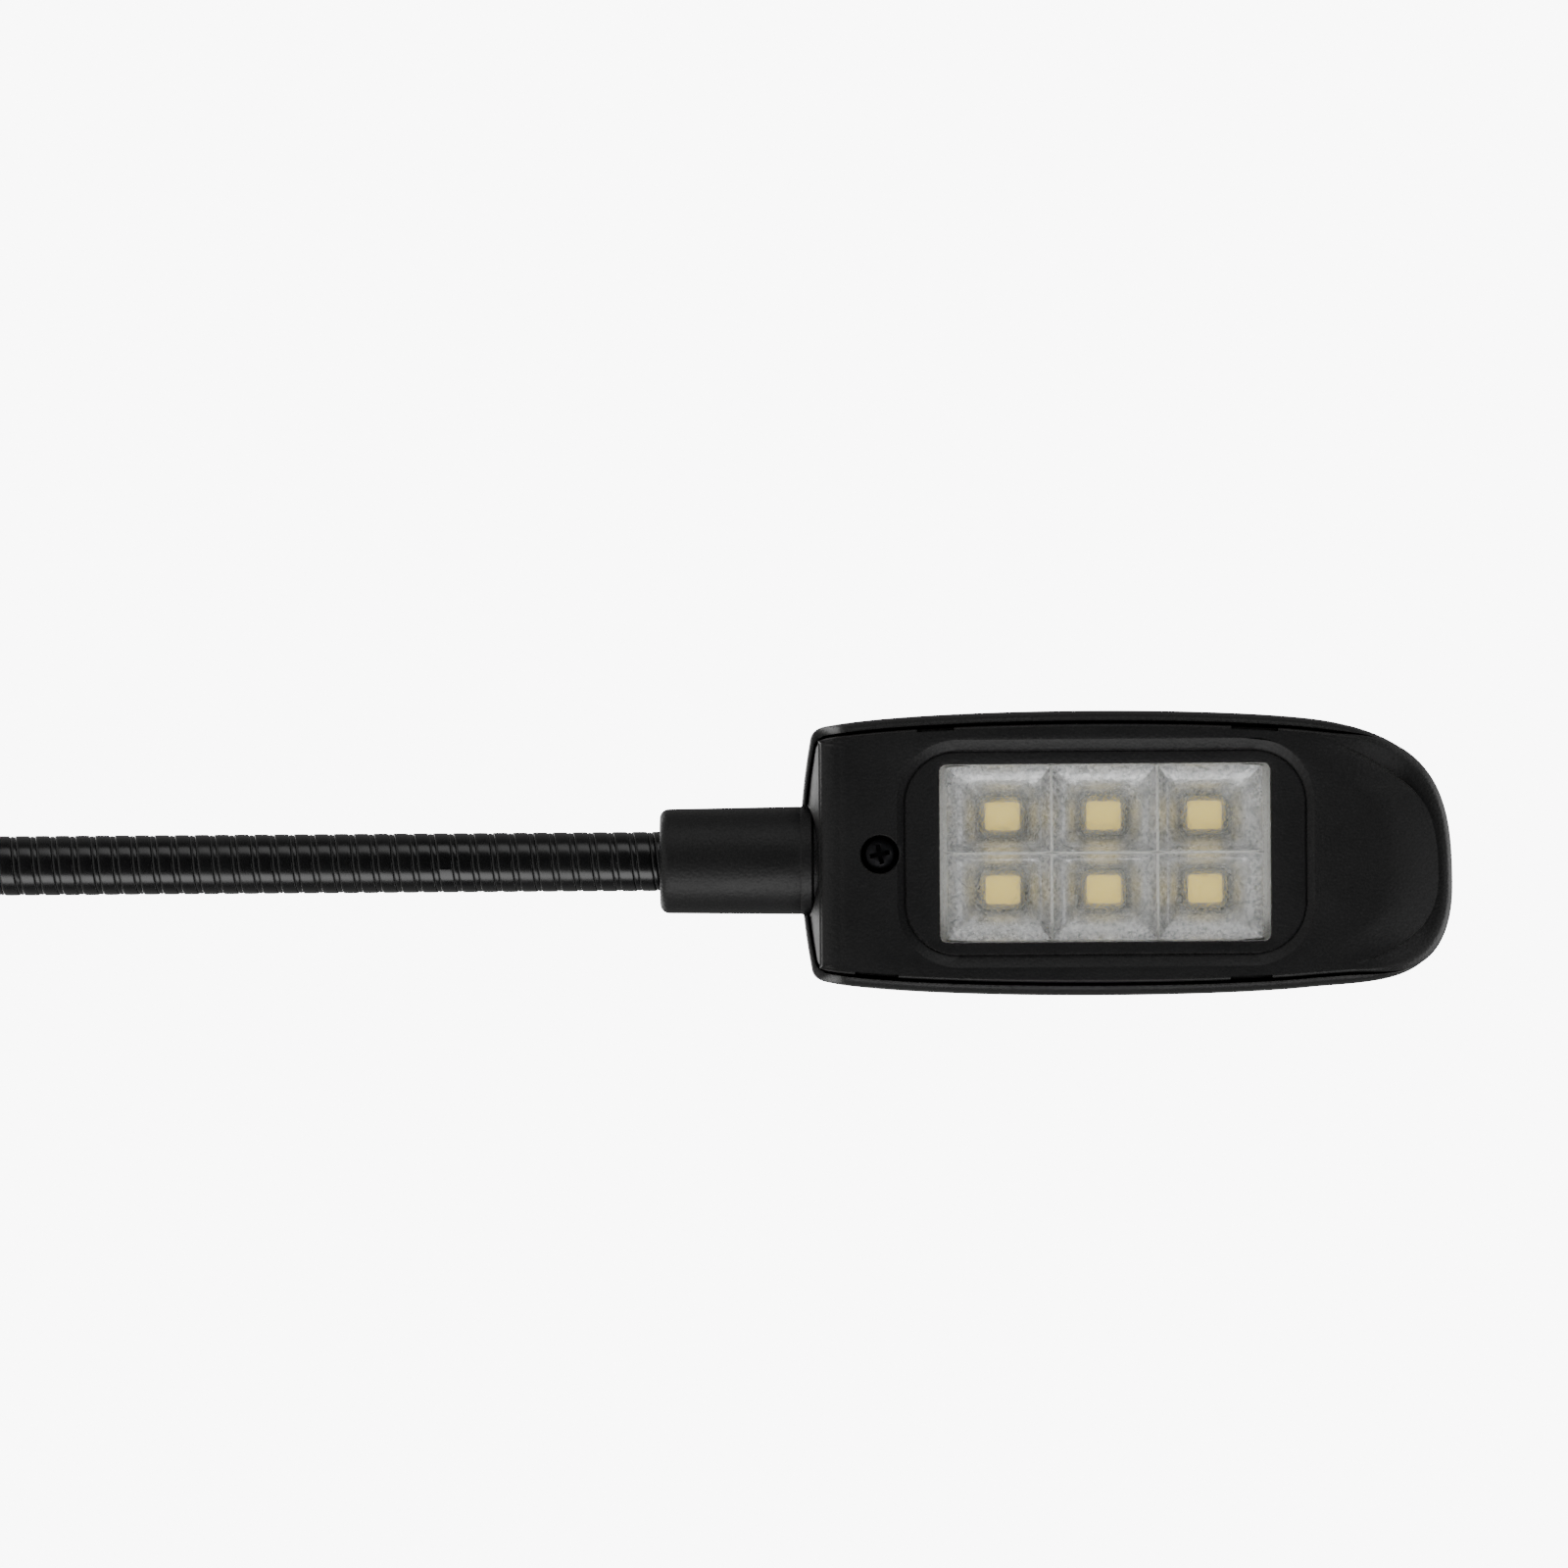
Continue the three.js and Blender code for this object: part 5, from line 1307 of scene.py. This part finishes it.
class LAMP_OT_neck(bpy.types.Operator):
    """Winds the gooseneck in one stretch for each of its hinges, with the lead inside"""

    bl_idname = "lamp.neck"
    bl_label = "Neck"

    def execute(self, context):
        heights = [joint["pos_m"][2] for joint in NECK_JOINTS]
        half = (heights[1] - heights[0]) / 2
        for number, joint in enumerate(NECK_JOINTS, 1):
            bottom, top = joint["pos_m"][2] - half, joint["pos_m"][2] + half
            low = bottom - IN_COLLAR if number == 1 else bottom
            high = top + IN_COLLAR if number == len(NECK_JOINTS) else top
            bodies = (joint["parent"], joint["child"])
            start, end = (*NECK_AXIS, bottom), (*NECK_AXIS, top)
            nodes = [f"neck_segment_{number}"] + (["neck_segment_12"] if number == len(NECK_JOINTS) else [])
            stretch = coil(f"neck_coil_{number}", low, high)
            mount_between(stretch, bodies, start, end, "wire", "neck_wire", *nodes)
            path = [(*NECK_AXIS, z) for z in np.linspace(low, high, 26)]
            lead = tube(f"neck_lead_{number}", path, LEAD_RADIUS)
            mount_between(lead, bodies, start, end, "lead", "lead_sleeve", "neck_lead")
        return {"FINISHED"}


class LAMP_OT_lead_ends(bpy.types.Operator):
    """Builds the ends of the lead in the base and the head"""

    bl_idname = "lamp.lead_ends"
    bl_label = "Lead ends"

    def execute(self, context):
        x, y = NECK_AXIS
        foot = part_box("neck_lead")[0][2]
        board_back, board_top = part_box("control_board")[1][1:]
        side = board_back + BEHIND_BOARD
        points = [(7 * MM, side, foot), (5 * MM, side, foot + 3 * MM), (1.4 * MM, side, board_top - 1 * MM)]
        points += [(x, y, board_top + 3 * MM), (x, y, board_top + 8 * MM)]
        points += [(x, y, BASE_COLLAR_HIGH - IN_COLLAR)]
        lead = tube("base_lead_end", curve_through(points, 8), LEAD_RADIUS)
        mount(lead, "base", "lead", "lead_sleeve", "neck_lead")
        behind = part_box("led_board")[1][1] + BEHIND_BOARD
        top, screw = HEAD_COLLAR_HIGH + 3.9 * MM, HEAD_SCREW[2]
        points = [(x, y, HEAD_COLLAR_LOW + IN_COLLAR), (x, y, top - 2 * MM), (x, y, top)]
        points += [(x + 4.1 * MM, y + 2.4 * MM, screw), (x + 4 * MM, behind, screw + 6 * MM)]
        points += [(x + 2 * MM, behind, screw + 10 * MM)]
        lead = tube("head_lead_end", curve_through(points, 8), LEAD_RADIUS)
        mount(lead, "head", "lead", "lead_sleeve", "neck_lead")
        return {"FINISHED"}


class LAMP_OT_housing(bpy.types.Operator):
    """Rounds the edges of the housings, the door and the button"""

    bl_idname = "lamp.housing"
    bl_label = "Housing"

    def execute(self, context):
        edge = sizes("base").edge
        pieces = (
            ("base_front_housing", "front_case", "base", "shell", "black_plastic", edge),
            ("base_back_housing", "back_case", "base", "shell", "black_plastic", edge),
            ("battery_door", "cell_door", "battery_door", "shell", "black_plastic", edge * 0.8),
            ("power_button", "push_button", "power_button", "rubber", "black_rubber", edge * 1.5),
        )
        for node, name, body, finish, slot, rounding in pieces:
            mount(rounded_copy(node, name, rounding), body, finish, slot, node)
        return {"FINISHED"}


class LAMP_OT_clip(bpy.types.Operator):
    """Builds the lever and the two rubber pads"""

    bl_idname = "lamp.clip"
    bl_label = "Clip"

    def execute(self, context):
        lever = rounded_copy("clip_lever", "spring_lever", sizes("base").edge)
        mount(lever, "clip_lever", "shell", "black_plastic", "clip_lever")
        fixed = ribbed_pad("fixed_grip", "fixed_jaw_pad", 1)
        mount(fixed, "base", "rubber", "black_rubber", "fixed_jaw_pad")
        moving = ribbed_pad("moving_grip", "moving_jaw_pad", -1)
        mount(moving, "clip_lever", "rubber", "black_rubber", "moving_jaw_pad")
        return {"FINISHED"}


class LAMP_OT_inside(bpy.types.Operator):
    """Builds the cells, the springs and the pin, and gives the other inner pieces their finishes"""

    bl_idname = "lamp.inside"
    bl_label = "Inside"

    def execute(self, context):
        for number in range(1, 4):
            body, nub, film = cell(number)
            mount(body, "base", film, "battery_can", f"battery_{number}")
            mount(nub, "base", "steel", "battery_can", f"battery_{number}")
            mount(cell_spring(number), "base", "steel", "spring_steel", f"battery_spring_{number}")
            coat(f"contact_plate_{number}", "steel")
        mount(clip_pin(), "base", "steel", "spring_steel", "hinge_pin")
        spring, reach, pin = clip_spring()
        start, end = (-reach, *pin[1:]), (reach, *pin[1:])
        mount_between(spring, ("base", "clip_lever"), start, end, "steel", "spring_steel", "torsion_spring")
        coat("control_board", "board")
        coat("tact_switch", "shell")
        coat("base_ferrule", "brass")
        coat("head_ferrule", "brass")
        return {"FINISHED"}


def soft_box(name, target, way, distance, size, radiance):
    """A soft rectangular light that the camera doesn't see. It stands at a distance from the target, along
    way, and its power gives its face the radiance."""
    light = bpy.data.lights.new(name, "AREA")
    light.shape, light.size, light.size_y = "RECTANGLE", size[0], size[1]
    light.energy = radiance * math.pi * size[0] * size[1]
    lamp = bpy.data.objects.new(name, light)
    out = Vector(way).normalized()
    lamp.location = Vector(target) + out * distance
    lamp.rotation_mode = "QUATERNION"
    lamp.rotation_quaternion = out.to_track_quat("Z", "Y")
    lamp.visible_camera = False
    bpy.context.scene.collection.objects.link(lamp)


class LAMP_OT_stage(bpy.types.Operator):
    """Makes the floor, the lights and the camera"""

    bl_idname = "lamp.stage"
    bl_label = "Stage"

    def execute(self, context):
        stage = sizes("stage")
        self.camera(stage)
        self.floor(stage)
        self.world()
        head = (HEAD_ORIGIN[0], FACE_Y, HEAD_ORIGIN[2] + 38 * MM)
        # The share that the boxes at the far end and over the lamp have of the ones they go with
        weaker = 0.7
        soft_box("key", head, (0.82, -0.57, -0.12), 0.9, (0.48, 1.2), stage.key)
        soft_box("fill", head, (-0.84, -0.52, 0.2), 1.0, (0.5, 1.0), stage.fill)
        soft_box("far_end", head, (0.08, -0.66, 0.75), 0.9, (0.5, 0.3), stage.key * weaker)
        soft_box("rear_low", head, (0.0, 0.77, -0.64), 0.52, (0.5, 0.2), stage.rear)
        soft_box("over", head, (0.1, 0.4, 0.91), 1.2, (1.4, 1.0), stage.rear * weaker)
        return {"FINISHED"}

    def camera(self, stage):
        """A long lens square to the head's face, rolled so that the neck lies across the view."""
        camera = bpy.data.cameras.new("camera")
        camera.lens, camera.sensor_width = stage.lens, 36.0
        camera.clip_start, camera.clip_end = 0.01, 20.0
        seen = bpy.data.objects.new("camera", camera)
        away = stage.lens / camera.sensor_width * stage.width
        aim = np.array([NECK_AXIS[0] - 8.95 * MM, FACE_Y + 3 * MM, HEAD_ORIGIN[2] - 1.83 * MM])
        seen.location = aim - np.array([0, away, 0])
        seen.rotation_mode = "QUATERNION"
        upright = Euler((math.pi / 2, 0, 0)).to_quaternion()
        seen.rotation_quaternion = upright @ Quaternion((0, 0, 1), stage.roll)
        bpy.context.scene.collection.objects.link(seen)
        bpy.context.scene.camera = seen

    def floor(self, stage):
        """A round pale floor under the clip."""
        radius, low, count = 1.3, CAD_BOX[0][2] - 1 * MM, 64
        turn = np.linspace(0, 2 * math.pi, count, endpoint=False)
        mesh = bpy.data.meshes.new("floor")
        points = np.stack([radius * np.cos(turn), radius * np.sin(turn), np.full(count, low)], -1)
        mesh.from_pydata(points.tolist(), [], [list(range(count))])
        floor = bpy.data.objects.new("floor", mesh)
        bpy.context.scene.collection.objects.link(floor)
        material, tree, shader, place = new_material("painted_floor")
        shader.inputs["Base Color"].default_value = (*stage.floor, 1)
        grain(tree, shader, place, 3.0, 0.02, 0.8, 0.05)
        mesh.materials.append(material)

    def world(self):
        """A white backdrop behind the lamp. To the camera it is brighter than the light it gives, and it
        fades to a dark room in front."""
        world = bpy.data.worlds.new("studio")
        bpy.context.scene.world = world
        world.use_nodes = True
        tree = world.node_tree
        tree.nodes.clear()
        ray = add(tree, "ShaderNodeLightPath", {}, {})
        way = add(tree, "ShaderNodeTexCoord", {}, {})
        parts = add(tree, "ShaderNodeSeparateXYZ", {}, {"Vector": way.outputs["Generated"]})
        strength = add(tree, "ShaderNodeMapRange", {}, {
            "Value": parts.outputs["Y"], "From Min": -0.15, "From Max": 0.35, "To Min": 0.04, "To Max": 0.3,
        })
        white = (1, 1, 1, 1)
        lit = add(tree, "ShaderNodeBackground", {}, {"Color": white, "Strength": strength.outputs["Result"]})
        seen = add(tree, "ShaderNodeBackground", {}, {"Color": white, "Strength": 9.0})
        mixed = add(tree, "ShaderNodeMixShader", {}, {
            0: ray.outputs["Is Camera Ray"], 1: lit.outputs[0], 2: seen.outputs[0],
        })
        add(tree, "ShaderNodeOutputWorld", {}, {"Surface": mixed.outputs[0]})


class LAMP_PT_panel(bpy.types.Panel):
    """Lists the operators that build the lamp"""

    bl_idname = "LAMP_PT_panel"
    bl_label = "Clip on reading lamp"
    bl_space_type = "VIEW_3D"
    bl_region_type = "UI"
    bl_category = "Lamp"

    def draw(self, context):
        for operator in OPERATORS:
            self.layout.operator(operator.bl_idname)


GROUPS = {"head": HeadSizes, "neck": NeckSizes, "base": BaseSizes, "stage": StageSizes}
OPERATORS = (
    LAMP_OT_stage,
    LAMP_OT_materials,
    LAMP_OT_head,
    LAMP_OT_collars,
    LAMP_OT_screws,
    LAMP_OT_light,
    LAMP_OT_neck,
    LAMP_OT_lead_ends,
    LAMP_OT_housing,
    LAMP_OT_clip,
    LAMP_OT_inside,
)


def register():
    """Registers the classes and adds the groups of sizes to the scene."""
    for kind in (*GROUPS.values(), *OPERATORS, LAMP_PT_panel):
        bpy.utils.register_class(kind)
    for name, kind in GROUPS.items():
        setattr(bpy.types.Scene, "lamp_" + name, PointerProperty(type=kind))


def unregister():
    """Undoes what register did."""
    for name in GROUPS:
        delattr(bpy.types.Scene, "lamp_" + name)
    for kind in reversed((*GROUPS.values(), *OPERATORS, LAMP_PT_panel)):
        bpy.utils.unregister_class(kind)


def main():
    """Builds the lamp."""
    register()
    for operator in OPERATORS:
        group, name = operator.bl_idname.split(".")
        getattr(getattr(bpy.ops, group), name)()


if __name__ == "__main__":
    main()
